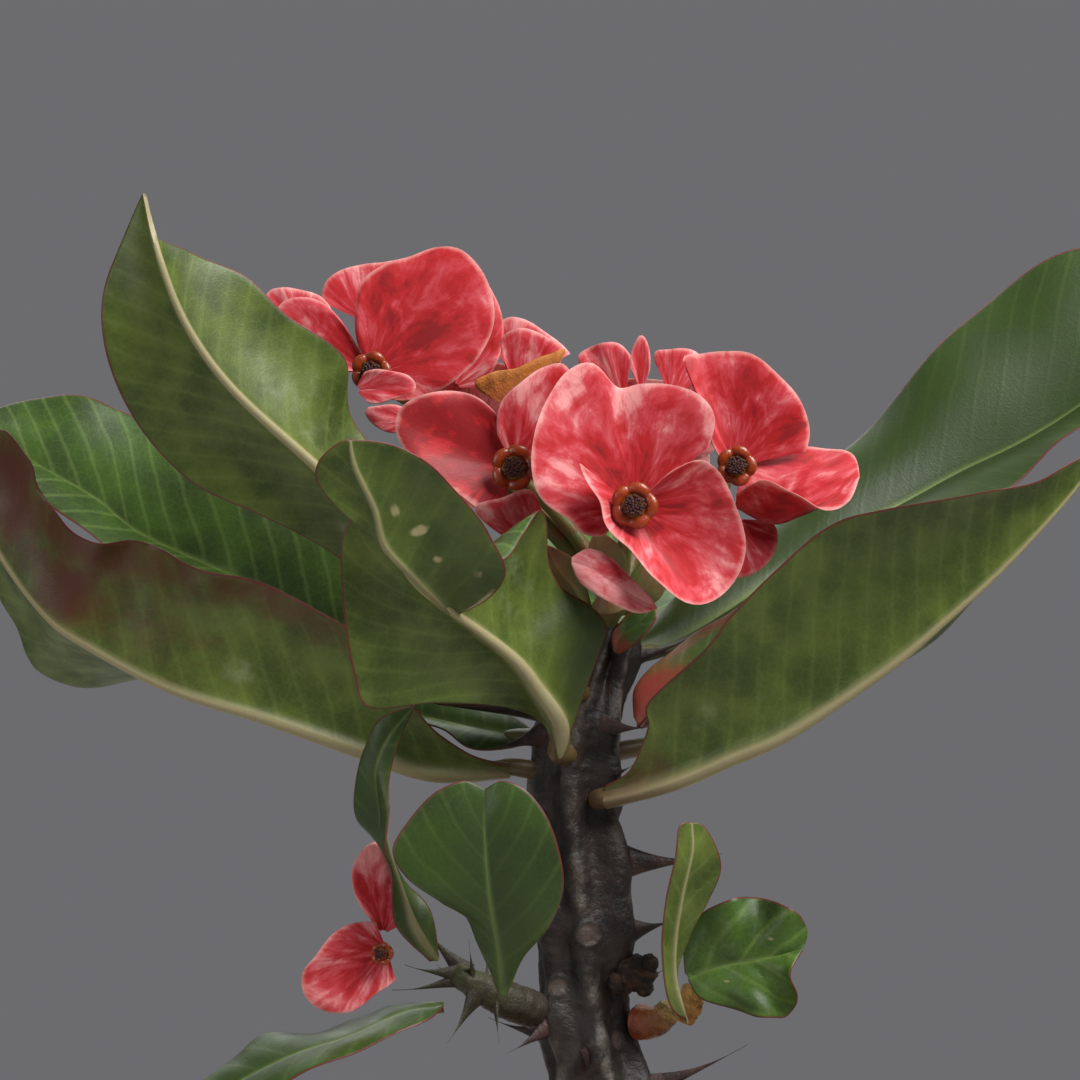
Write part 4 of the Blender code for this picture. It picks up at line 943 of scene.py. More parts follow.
def facing(turn: float, rise: float) -> tuple[np.ndarray, np.ndarray, np.ndarray]:
    """Work out the directions of a flower that is turned from -Y and tilted up.

    Args:
        turn: Degrees round from -Y.
        rise: Degrees above level.

    Returns:
        Its right, its up and its outward direction.
    """
    a, b = radians(turn), radians(rise)
    outward = np.array([sin(a) * cos(b), -cos(a) * cos(b), sin(b)])
    right = np.array([cos(a), sin(a), 0.0])
    return right, np.cross(outward, right), outward


STEM_MIDDLE = -5.0          # where the stem stands under the crown's leaves, in mm to the right
FOOT_START = 7.5            # how far from the stem's middle a leaf foot starts, inside the skin, in mm
FLUSH, BLOOM, SCAR, SHADE = Mark.FLUSH, Mark.BLOOM, Mark.SCAR, Mark.SHADE
# SHADE spots in the tables below are painted shade: darker green where a blade lies in shadow.
LEFT_TOP_MARKS = (
    Spot(BLOOM, 0.36, -0.40, 0.07, 0.30, 0.75), Spot(BLOOM, 0.62, 0.45, 0.22, 0.50, 0.40),
    Spot(SHADE, 0.25, -0.55, 0.22, 0.45, 0.55), Spot(BLOOM, 0.55, 0.2, 0.10, 0.15, 0.45),
)
LEFT_LOW_MARKS = (
    Spot(FLUSH, 0.86, 0.55, 0.10, 0.55, 1.0), Spot(FLUSH, 0.70, 0.85, 0.20, 0.35, 0.75),
    Spot(FLUSH, 0.70, 0.35, 0.07, 0.40, 0.95),
    Spot(FLUSH, 0.45, 0.95, 0.25, 0.25, 0.55), Spot(FLUSH, 0.60, 0.35, 0.18, 0.35, 0.35),
    Spot(SCAR, 0.97, 0.30, 0.015, 0.30, 0.9), Spot(SCAR, 0.88, 0.25, 0.02, 0.12, 0.9),
    Spot(BLOOM, 0.42, 0.30, 0.05, 0.20, 0.5), Spot(FLUSH, 0.02, 0.0, 0.03, 1.0, 0.5),
)
RIGHT_MARKS = (
    Spot(BLOOM, 0.22, -0.45, 0.05, 0.25, 0.45), Spot(BLOOM, 0.33, -0.35, 0.05, 0.20, 0.35),
    Spot(BLOOM, 0.50, -0.55, 0.07, 0.25, 0.3), Spot(SHADE, 0.55, -0.6, 0.30, 0.5, 0.35),
    Spot(FLUSH, 0.02, 0.0, 0.10, 1.0, 0.75),
)
FRONT_MARKS = (
    Spot(BLOOM, 0.16, 0.0, 0.12, 0.14, 0.75), Spot(FLUSH, 0.07, 0.05, 0.06, 0.35, 0.45),
    Spot(BLOOM, 0.55, 0.6, 0.30, 0.5, 0.38), Spot(SHADE, 0.25, 0.85, 0.16, 0.5, 0.9),
    Spot(SHADE, 0.45, -0.5, 0.25, 0.5, 0.35),
)
LOBE_MARKS = (
    Spot(SHADE, 0.45, 0.5, 0.6, 0.7, 0.45), Spot(SCAR, 0.62, 0.25, 0.05, 0.10, 0.9),
    Spot(SCAR, 0.50, 0.40, 0.03, 0.14, 0.9), Spot(SCAR, 0.35, 0.35, 0.03, 0.10, 0.8),
    Spot(SCAR, 0.25, 0.70, 0.04, 0.08, 0.8), Spot(SCAR, 0.10, 0.97, 0.12, 0.10, 1.0),
)
YOUNG_MARKS = (Spot(FLUSH, 0.10, 0.0, 0.22, 1.6, 1.0), Spot(FLUSH, 0.4, 0.9, 0.5, 0.25, 0.5))
# Painted shade laid over whole blades that lie in shadow.
SHADED = (Spot(SHADE, 0.5, 0.0, 1.0, 1.5, 0.80),)
DEEP_SHADE_MARKS = (Spot(SHADE, 0.45, 0.0, 0.9, 2.0, 0.95),)
WAVY_MARKS = (
    Spot(BLOOM, 0.45, 0.25, 0.20, 0.3, 0.35), Spot(SCAR, 0.70, 0.35, 0.05, 0.08, 0.8),
    Spot(SCAR, 0.30, -0.35, 0.05, 0.08, 0.7),
)
LEAVES = (
    Blade("leaf_upper_left", (-5, -11, 284), curl=(0.10, 0.08), wave=(1.6, 46.0), marks=LEFT_TOP_MARKS,
          foot=(2.3, 11.0), rails=(
        ((0, 0, 0), (-25, -11, 22), (-46, -21, 39), (-62, -29, 54), (-79, -37, 70), (-89, -41, 84),
         (-95, -43, 99), (-99, -41, 115)),
        ((-2, 0, -2), (-31, -7, 13), (-58, -15, 32), (-75, -20, 43), (-91, -24, 50), (-102, -29, 62),
         (-108, -34, 80), (-108, -37, 96), (-99, -41, 115)),
        ((2, 0, 2), (-20, -5, 29), (-40, -9, 46), (-52, -13, 63), (-54, -19, 78), (-68, -25, 87),
         (-77, -31, 97), (-89, -36, 102), (-97, -40, 105), (-99, -41, 115)),
    )),
    Blade("leaf_back_left", (-15, 8, 282), curl=(0.08, 0.05), wave=(1.2, 38.0), foot=(2.3, 11.0), rails=(
        ((0, 0, 0), (-24, 6, 7), (-48, 12, 16), (-73, 18, 28), (-98, 24, 39), (-110, 27, 48),
         (-124, 29, 56), (-142, 30, 67)),
        ((1, 1, 2), (-17, 16, 23), (-39, 26, 43), (-62, 32, 57), (-85, 36, 65), (-104, 38, 70),
         (-115, 38, 74), (-125, 37, 74), (-134, 34, 72), (-142, 30, 67)),
        ((-1, -1, -2), (-24, -4, -1), (-48, -2, 9), (-72, 2, 19), (-96, 8, 30), (-115, 16, 42),
         (-131, 23, 57), (-142, 30, 67)),
    )),
    Blade("leaf_lower_left", (-22, -7, 266), curl=(0.05, 0.10), wave=(1.6, 30.0), marks=LEFT_LOW_MARKS,
          foot=(2.3, 12.0), rails=(
        ((0, 0, 0), (-18, -5, -1), (-34, -7, 4), (-58, -8, 12), (-80, -8, 19), (-101, -7, 30),
         (-110, -6, 37), (-120, -4, 50), (-127, -2, 64), (-131, 1, 79)),
        ((0, 4, 0), (-19, 13, -1), (-39, 21, 4), (-61, 27, 12), (-81, 29, 18), (-94, 29, 19),
         (-113, 26, 20), (-119, 23, 25), (-120, 20, 35), (-126, 15, 49), (-129, 8, 64), (-131, 1, 79)),
        ((0, -3, 1), (-9, -8, 3), (-16, -11, 8), (-22, -13, 16), (-38, -16, 34), (-56, -17, 43),
         (-72, -20, 48), (-85, -15, 53), (-96, -19, 54), (-106, -13, 60), (-111, -10, 66), (-112, -11, 73),
         (-119, -5, 80), (-131, 1, 79)),
    )),
    Blade("leaf_right_front", (1, -11, 259), curl=(0.08, 0.08), wave=(1.0, 60.0), marks=RIGHT_MARKS,
          foot=(2.35, 13.0), rails=(
        ((0, 0, 0), (16, -5, 4), (30, -10, 10), (43, -14, 16), (65, -19, 31), (78, -21, 42), (91, -22, 54),
         (104, -22, 68), (117, -20, 84)),
        ((0, -2, 3), (6, -6, 7), (10, -10, 17), (10, -12, 23), (23, -18, 36), (29, -21, 44), (39, -25, 54),
         (51, -29, 64), (63, -31, 68), (84, -31, 72), (98, -29, 74), (106, -27, 78), (117, -20, 84)),
        ((0, 2, -1), (20, 7, 6), (42, 13, 15), (64, 15, 27), (77, 13, 36), (86, 9, 45), (93, 3, 53),
         (102, -7, 67), (117, -20, 84)),
    )),
    Blade("leaf_right_back", (5, 7, 292), curl=(0.10, 0.12), wave=(1.4, 40.0), marks=DEEP_SHADE_MARKS,
          foot=(2.3, 11.0), rails=(
        ((0, 0, 0), (15, 6, 4), (35, 14, 16), (55, 21, 29), (71, 26, 37), (86, 30, 45), (101, 33, 52),
         (116, 36, 61), (137, 38, 77), (157, 38, 98)),
        ((1, -2, -1), (14, -4, 1), (34, -4, 8), (53, 0, 18), (73, 6, 29), (95, 14, 41), (108, 19, 50),
         (119, 24, 59), (138, 31, 77), (157, 38, 98)),
        ((0, 2, 1), (13, 16, 13), (33, 28, 29), (47, 34, 41), (59, 38, 52), (71, 42, 65), (87, 46, 82),
         (104, 48, 96), (118, 48, 102), (138, 44, 105), (157, 38, 98)),
    )),
    Blade("leaf_back_low", (-16, 11, 272), wave=(1.0, 30.0), foot=(2.4, 10.0), rails=(
        ((0, 0, 0), (-16, 15, 2), (-33, 31, 5), (-54, 45, 10), (-76, 57, 16)),
        ((1, 1, 1), (-16, 25, 11), (-34, 41, 16), (-55, 53, 18), (-76, 57, 16)),
        ((0, -1, -1), (-7, 4, -3), (-16, 9, -3), (-23, 17, 1), (-33, 25, 3), (-54, 39, 5), (-76, 57, 16)),
    )),
    Blade("leaf_behind", (-1, 13, 284), wave=(1.2, 34.0), foot=(2.4, 10.0), rails=(
        ((0, 0, 0), (3, 22, 8), (6, 50, 22), (5, 78, 40), (2, 100, 62)),
        ((2, 0, 1), (18, 22, 12), (31, 50, 27), (24, 80, 44), (2, 100, 62)),
        ((-2, 0, 1), (-13, 22, 14), (-21, 50, 30), (-17, 80, 46), (2, 100, 62)),
    )),
    Blade("leaf_behind_right", (11, 10, 270), wave=(1.2, 34.0), foot=(2.4, 10.0), rails=(
        ((0, 0, 0), (19, 14, 3), (44, 32, 12), (68, 52, 26), (86, 70, 46)),
        ((1, -1, 0), (28, 4, 8), (58, 17, 19), (80, 40, 32), (86, 70, 46)),
        ((-1, 1, 0), (10, 24, 9), (28, 46, 21), (53, 64, 33), (86, 70, 46)),
    )),
    Blade("leaf_young_right", (9, -5, 276), finish=Finish.YOUNG, slot="young_green", stalk=1.6,
          wave=(0.3, 14.0), marks=YOUNG_MARKS, rails=(
        ((0, 0, 0), (5, -2, 3), (15, -5, 12), (29, -7, 23), (43, -8, 36)),
        ((0, -2, -1), (4, -7, 5), (9, -10, 9), (19, -13, 20), (30, -13, 32), (43, -8, 36)),
        ((-1, 1, 2), (-1, 3, 8), (3, 5, 13), (9, 6, 18), (21, 5, 26), (33, 1, 32), (43, -8, 36)),
    )),
    Blade("leaf_young_inner", (4, -6, 293), finish=Finish.YOUNG, slot="young_green", stalk=1.6,
          wave=(0.2, 14.0), marks=YOUNG_MARKS, rails=(
        ((0, 0, 0), (1, -1, 4), (5, -3, 7), (9, -4, 11)),
        ((1, -1, 0), (5, -5, 3), (9, -6, 8), (9, -4, 11)),
        ((-1, 0, 1), (-1, -1, 5), (3, -2, 10), (7, -3, 12), (9, -4, 11)),
    )),
    Blade("shoot_leaf_round", (-23, -29, 214), stalk=1.6, wave=(0.8, 24.0), marks=SHADED, rails=(
        ((0, 0, 0), (-1, -5, 11), (-3, -10, 25), (-4, -13, 39), (-4, -13, 49)),
        ((1, 0, 0), (2, -1, 3), (5, -4, 10), (11, -7, 17), (14, -10, 26), (13, -12, 35), (10, -14, 43),
         (5, -15, 49), (0, -14, 51), (-4, -13, 49)),
        ((-1, 0, 0), (-3, -3, 6), (-6, -6, 13), (-9, -9, 20), (-15, -12, 24), (-22, -15, 29),
         (-25, -16, 35), (-22, -16, 41), (-16, -15, 48), (-9, -14, 51), (-4, -13, 49)),
    )),
    Blade("shoot_leaf_twisted", (-39, -27, 222), stalk=1.6, marks=SHADED, rails=(
        ((0, 0, 0), (-5, -3, 9), (-9, -5, 20), (-11, -6, 27), (-12, -7, 35), (-13, -8, 45), (-10, -9, 53),
         (-4, -9, 60)),
        ((-1, -1, 0), (-9, -5, 9), (-9, -12, 21), (-11, -14, 27), (-10, -11, 36), (-10, -9, 43),
         (-8, -9, 51), (-4, -9, 60)),
        ((1, 1, 1), (-1, 1, 12), (-7, 2, 19), (-12, 2, 27), (-18, -1, 33), (-18, -5, 42), (-16, -7, 50),
         (-12, -9, 57), (-4, -9, 60)),
    )),
    Blade("shoot_leaf_low", (-37, -24, 211), stalk=1.6, wave=(0.8, 22.0), marks=SHADED, rails=(
        ((0, 0, 0), (-9, -4, -1), (-21, -8, -6), (-34, -10, -10), (-48, -10, -17), (-65, -6, -28)),
        ((0, 1, 1), (-12, 4, 0), (-18, 4, -3), (-29, 3, -6), (-41, 2, -7), (-48, 0, -11), (-56, -3, -17),
         (-65, -6, -28)),
        ((0, -1, 0), (-5, -9, -3), (-19, -16, -8), (-35, -19, -15), (-51, -16, -24), (-65, -6, -28)),
    )),
    Blade("shoot_leaf_narrow", (20, -13, 206), stalk=1.6, rails=(
        ((0, 0, 0), (-3, -3, 10), (-3, -5, 20), (-1, -7, 32), (1, -8, 41), (1, -8, 48)),
        ((0, 0, 0), (-4, -4, 5), (-6, -8, 18), (-5, -10, 29), (-3, -11, 39), (-2, -10, 47), (1, -8, 48)),
        ((1, 0, 0), (-2, -2, 11), (1, -2, 20), (5, -3, 28), (8, -4, 36), (7, -6, 42), (4, -7, 47),
         (1, -8, 48)),
    )),
    Blade("shoot_leaf_wavy", (21, -8, 216), stalk=1.6, wave=(1.0, 11.0), pucker=0.45, marks=WAVY_MARKS,
          rails=(
        ((0, 0, 0), (8, -2, 3), (18, -4, 5), (27, -4, 7)),
        ((0, 0, -1), (3, -2, -5), (10, -4, -7), (17, -6, -9), (23, -3, -9), (25, -7, -4), (24, -8, 2),
         (27, -4, 7)),
        ((-1, 0, 1), (-1, 1, 9), (3, 0, 15), (10, -4, 19), (17, -1, 19), (24, -6, 17), (28, -3, 12),
         (27, -4, 7)),
    )),
)
FRONT_LEAF = (
    Blade("leaf_front", (-10, -15, 270), curl=(0.06, 0.10), wave=(0.5, 40.0), marks=FRONT_MARKS,
          stalk=3.4, foot=(2.7, 18.0), rails=(
        ((0, 0, 0), (0, -4, 7), (-5, -13, 15), (-10, -21, 22), (-18, -31, 29), (-30, -44, 38),
         (-35, -49, 44), (-38, -52, 50)),
        ((-2, -1, 1), (-4, -4, 7), (-13, -14, 11), (-29, -27, 13), (-43, -37, 12), (-46, -41, 19),
         (-48, -44, 30), (-49, -47, 46), (-47, -49, 54), (-40, -52, 58)),
        ((2, -1, 1), (5, -3, 11), (9, -6, 23), (11, -8, 30), (7, -9, 35), (1, -10, 39), (-2, -14, 45),
         (-3, -21, 54), (-5, -27, 57), (-8, -33, 52), (-13, -41, 45), (-25, -48, 46)),
    )),
    Blade("leaf_front_lobe", (-10, -15, 270), curl=(0.06, 0.10), wave=(0.4, 30.0), marks=LOBE_MARKS,
          stalk=1.4, rails=(
        ((-25, -38, 34), (-34, -51, 43), (-39, -56, 49), (-41, -60, 57), (-45, -64, 66), (-46, -66, 72)),
        ((-27, -39, 34), (-36, -52, 45), (-41, -56, 51), (-47, -60, 55), (-53, -63, 62), (-53, -65, 67),
         (-49, -66, 71), (-46, -66, 72)),
        ((-23, -37, 33), (-16, -42, 37), (-12, -48, 43), (-15, -51, 50), (-18, -54, 55), (-24, -57, 62),
         (-29, -61, 67), (-37, -63, 71), (-46, -66, 72)),
    )),
)
BRACTS = (
    Fan("bract_middle_back", (7.5, -22, 328), slot="blush_bract", red=0.0, middle_red=0.42, rim=(
        (225, 10, 4), (209, 13.5, 6), (192, 15.5, 8), (175, 22, 10), (162, 25, 11), (147, 28, 11),
        (129, 32, 9), (116, 35, 7), (106, 34.5, 5), (98, 28, 2), (87, 28.5, 2), (74, 29.5, 3), (60, 30, 5),
        (48, 28, 6), (38, 22, 4))),
    Fan("bract_middle_front", (7.5, -22, 328), red=0.14, middle_red=0.20, seat=1.6,
        cup=2.6, rim=(
        (43, 11, 6), (36, 18, 8), (23, 21, 8), (0, 23.5, 8), (-20, 27.5, 9), (-36, 29, 11),
        (-51, 28.5, 13), (-62, 25.5, 15), (-75, 17.5, 15), (-98, 10, 12), (-150, 8, 11), (-190, 8.5, 12),
        (-217, 16, 15))),
    Fan("bract_left_outer", (-20.5, -12, 337), red=0.47, rim=(
        (109, 14, 2), (120, 20, 3), (138, 26.5, 5), (151, 30, 6), (161, 29.5, 6), (171, 26, 6),
        (183, 20, 7), (205, 14.5, 8), (230, 12.5, 9), (255, 10, 9))),
    Fan("bract_left_inner", (-20.5, -12, 337), seat=1.4, rim=(
        (116, 9, 3), (102, 15.5, 5), (86, 20, 6), (73, 25, 5), (63, 27, 4), (50, 22, 2), (25, 12, 3),
        (5, 8, 4))),
    Fan("bract_right_back", (32, -8, 337.5), red=0.18, rim=(
        (150, 4, 2), (124, 12, 3), (118, 22, 4), (116, 28.5, 4), (107, 28, 1), (95, 27.5, 1), (82, 27, 2),
        (65, 24, 3), (46, 22, 3), (25, 19.5, 2), (12, 17, 2))),
    Fan("bract_far_left_big", (-54.5, -5, 360), red=0.26, seat=1.4, rim=(
        (117, 7, 2), (105, 15, 3), (96, 21.5, 3), (83, 26, 2), (72, 29, 1), (63, 33.5, 1), (55, 36, 2),
        (46, 36, 3), (35, 34.5, 4), (22, 31.5, 5), (8, 26, 6), (-5, 20.5, 6), (-25, 14, 5), (-55, 8, 4))),
    Fan("bract_far_left_small", (-54.5, -5, 360), red=0.16, rim=(
        (121, 6, 1), (121, 14, 2), (125, 20, 2), (133, 24.5, 2), (142, 27, 2), (151, 26.5, 2),
        (159, 23.5, 3), (165, 18, 3), (171, 12, 3), (178, 7, 2))),
    Fan("bract_back_left_upper", (-30, 24, 343), turn=155, rise=30, rim=(
        (-12, 12, 3), (5, 19, 5), (30, 22, 6), (60, 23, 5), (90, 21, 4), (120, 23, 5), (150, 22, 6),
        (175, 18, 5), (192, 12, 3))),
    Fan("bract_back_left_lower", (-30, 24, 343), slot="blush_bract", turn=155, rise=30, seat=1.8, rim=(
        (12, 11, 7), (-8, 18, 9), (-35, 22, 9), (-62, 23, 7), (-90, 21, 6), (-118, 23, 7), (-145, 22, 9),
        (-172, 18, 9), (-192, 11, 7))),
    Fan("bract_back_right_upper", (14, 28, 340), turn=200, rise=35, rim=(
        (-12, 12, 3), (5, 19, 5), (30, 22, 6), (60, 23, 5), (90, 21, 4), (120, 23, 5), (150, 22, 6),
        (175, 18, 5), (192, 12, 3))),
    Fan("bract_back_right_lower", (14, 28, 340), slot="blush_bract", turn=200, rise=35, seat=1.8, rim=(
        (12, 11, 7), (-8, 18, 9), (-35, 22, 9), (-62, 23, 7), (-90, 21, 6), (-118, 23, 7), (-145, 22, 9),
        (-172, 18, 9), (-192, 11, 7))),
    Fan("bract_left_lip", (-14, -16, 315), slot="blush_bract", rim=(
        (146, 15, 5), (141, 20, 9), (122, 17.5, 9), (99, 17, 6), (90, 12, 3))),
    Fan("bract_right_low", (32, -12, 325), slot="blush_bract", rim=(
        (-2, 8, 1), (-15, 10, 1), (-40, 12, 2), (-68, 13.5, 2), (-90, 14, 1), (-108, 13, 0))),
    Fan("bract_far_left_lip", (-58, -15, 355.5), slot="blush_bract", inner=1, rim=(
        (62, 4.5, 1), (30, 9, 1), (12, 13.5, 2), (-2, 14, 2), (-16, 9, 2), (-45, 4.5, 1))),
    Fan("bract_far_left_low", (-45, -9, 348), slot="blush_bract", inner=1, rim=(
        (215, 4.5, 1), (190, 8, 2), (174, 10.5, 3), (163, 11, 2), (150, 8, 1), (120, 4, 0))),
    Fan("bract_far_left_rear", (-72, 8, 370), inner=1, rim=(
        (140, 12, 1), (127, 13, 1), (112, 12, 1), (90, 10.5, 0), (62, 10, 0), (35, 9, 0))),
    Fan("bract_far_left_top", (-57, 13, 373), inner=1, rim=(
        (155, 11.5, 1), (137, 13.5, 1), (118, 14, 1), (98, 14, 0), (76, 15, 0), (58, 17, 0), (28, 14, 0))),
    Fan("bract_crest_coral", (-35, 10, 357), inner=1, rim=(
        (95, 23, 0), (82, 25.5, 0), (74, 26.5, 0), (66, 24, 0), (56, 20.5, 0), (41, 15, 0), (22, 9.5, 0),
        (0, 6, 0))),
    Fan("bract_crest_front", (-19, 3, 353), slot="blush_bract", inner=1, rim=(
        (112, 12, 2), (107, 16, 2), (98, 17.5, 2), (88, 18, 2), (68, 17, 1), (52, 16.5, 0), (42, 11, 0))),
    Fan("bract_crest_rear", (-20, 16, 358), inner=1, rim=(
        (122, 11, 1), (110, 15, 1), (97, 16.5, 1), (84, 16, 1), (60, 14.5, 0), (30, 15, 0))),
    Fan("bract_wilted", (-23, -4, 352), slot="wilted_bract", inner=1, rim=(
        (148, 7, 1), (140, 9, 2), (114, 8.5, 2), (72, 9.5, 1), (50, 16, 0), (43, 20, 0), (36, 14, 0))),
    Fan("bract_top_left", (6, 7, 353), inner=1, rim=(
        (142, 13, 0), (134, 16, 0), (122, 16, 0), (108, 15.5, 1), (95, 14.5, 1), (82, 11.5, 1))),
    Fan("bract_top_curl", (9.8, -1, 355), slot="blush_bract", inner=1, rim=(
        (112, 7, 1), (98, 12, 1), (90, 14, 1), (82, 12, 1), (70, 6, 1))),
    Fan("bract_top_right", (17, 4, 354), inner=1, rim=(
        (112, 10, 0), (107, 12, 0), (90, 12, 0), (64, 13, 0), (45, 12, 0), (34, 10, 0))),
    Fan("bract_low_upper", (-51, -25, 228), inner=1, rim=(
        (129, 8, 0), (121, 14, 1), (109, 19, 1), (92, 21.5, 0), (78, 15, -1), (55, 11, -1), (38, 12, 0),
        (28, 9, 0))),
    Fan("bract_low_lower", (-50, -27, 224.5), slot="blush_bract", inner=1, rim=(
        (112, 7, 0), (132, 9, 1), (157, 12.5, 3), (181, 16, 4), (194, 20, 4), (208, 21.5, 4), (224, 20, 4),
        (240, 16, 4), (257, 10, 3), (287, 7, 2))),
)
FOLDED_BRACTS = (
    Blade("bract_right_fold", (32, -11, 327), finish=Finish.BRACT, slot="coral_bract", stalk=0.8,
          thickness=0.6, red=0.220, wave=(0.4, 12.0), rails=(
        ((0, 0, 1), (8, -6, -3), (15, -9, -1), (23, -8, 3), (29, -5, 8)),
        ((0, -3, 4), (6, -9, 7), (13, -13, 4), (20, -13, 0), (26, -10, 2), (29, -5, 8)),
        ((1, 4, 8), (7, 6, 13), (15, 7, 15), (22, 5, 15), (28, 1, 13), (29, -5, 8)),
    )),
    Blade("bract_salmon", (-7, -28, 315), finish=Finish.BRACT, slot="blush_bract", stalk=0.8,
          thickness=0.6, red=0.04, wave=(0.4, 12.0), rails=(
        ((0, 0, 0), (5, -1, -2), (11, -1, -6), (20, 0, -11)),
        ((0, 0, -1), (2, -1, -5), (8, -2, -9), (15, -1, -12), (20, 0, -11)),
        ((0, 0, 1), (4, 0, 3), (9, 0, 1), (13, 0, -3), (18, 0, -8), (20, 0, -11)),
    )),
)
THORNS = (
    ((0, -4, 243), (29, -4, 245), 4.2), ((2, -5, 226), (19, -6, 230), 4.6),
    ((4, -4, 187), (35, -8, 200), 3.6), ((-6, -6, 184), (-33, -14, 192), 3.2),
    ((-9, 3, 280), (-42, 4, 281), 3.4), ((-10, -5, 275), (-27, -16, 271), 3.6),
    ((-2, -6, 276), (12, -15, 276), 3.6), ((2, 2, 290), (23, 3, 297), 3.2),
    ((0, -4, 263), (8, -13, 267), 2.8), ((-12, -5, 231), (-16, -19, 235), 3.4),
    ((-10, -6, 206), (-22, -15, 199), 3.2), ((-3, -7, 196), (-6, -24, 203), 3.2),
    ((-1, 2, 258), (19, 12, 262), 3.4), ((-5, 6, 268), (-2, 26, 272), 3.6),
    ((-10, 5, 250), (-24, 17, 254), 3.4), ((0, 6, 240), (9, 24, 243), 3.6),
    ((-8, 6, 226), (-13, 27, 230), 3.6), ((2, 5, 212), (18, 17, 216), 3.4),
    ((-8, 4, 200), (-27, 11, 204), 3.4), ((-2, 6, 188), (-1, 27, 192), 3.6),
    ((5, 4, 174), (22, 14, 178), 3.6), ((-5, 5, 172), (-20, 17, 177), 3.6),
    ((5, -4, 168), (24, -13, 173), 3.6), ((-5, -5, 166), (-18, -19, 171), 3.6),
    ((-5, 4, 152), (-22, 12, 156), 3.4), ((4, 6, 150), (11, 24, 154), 3.6),
    ((3, -6, 148), (6, -25, 153), 3.6), ((-6, -3, 144), (-26, -8, 148), 3.4),
)
SHOOT_THORNS = (
    ((-32, -18, 218), (-44, -18, 232), 1.8), ((-33, -19, 218), (-46, -26, 221), 1.6),
    ((-32, -19, 217), (-49, -25, 215), 1.4), ((-29, -18, 214), (-36, -28, 203), 2.4),
    ((-25, -15, 212), (-24, -26, 203), 1.8), ((-30, -18, 216), (-31, -26, 227), 1.6),
    ((-27, -15, 214), (-27, -6, 223), 1.8), ((-31, -18, 216), (-39, -9, 219), 1.6),
)
STALKS = (
    (((4.5, -2, 303), (-6, -3, 316), (-24, -2, 335), (-40, -1, 349), (-52, 0, 357)),
     (2.2, 2, 1.8, 1.6, 1.4)),
    (((3, -3, 303), (-4, -5, 318), (-14, -6, 330), (-20, -8, 335)), (2.2, 2, 1.7, 1.4)),
    (((4.5, -4, 303), (5, -8, 312), (6, -14, 321), (7.3, -18, 327)), (2.2, 2, 1.8, 1.4)),
    (((5, -2, 303), (12, -2, 315), (24, -2, 327), (31, -4, 334)), (2.2, 2, 1.7, 1.4)),
    (((4, 1, 303), (-6, 8, 318), (-20, 15, 331), (-29, 20, 339)), (2.2, 1.9, 1.7, 1.4)),
    (((5, 1, 303), (8, 9, 316), (12, 18, 328), (14, 23, 335)), (2.2, 1.9, 1.7, 1.4)),
)


# ---- flowers --------
def ball(fineness: int) -> tuple[np.ndarray, Faces]:
    """Return a ball of radius one.

    Args:
        fineness: How many times its faces are split.

    Returns:
        The points and the faces.
    """
    shape = bmesh.new()
    bmesh.ops.create_icosphere(shape, subdivisions=fineness, radius=1.0)
    points = np.array([v.co[:] for v in shape.verts])
    faces = [tuple(v.index for v in face.verts) for face in shape.faces]
    shape.free()
    return points, faces


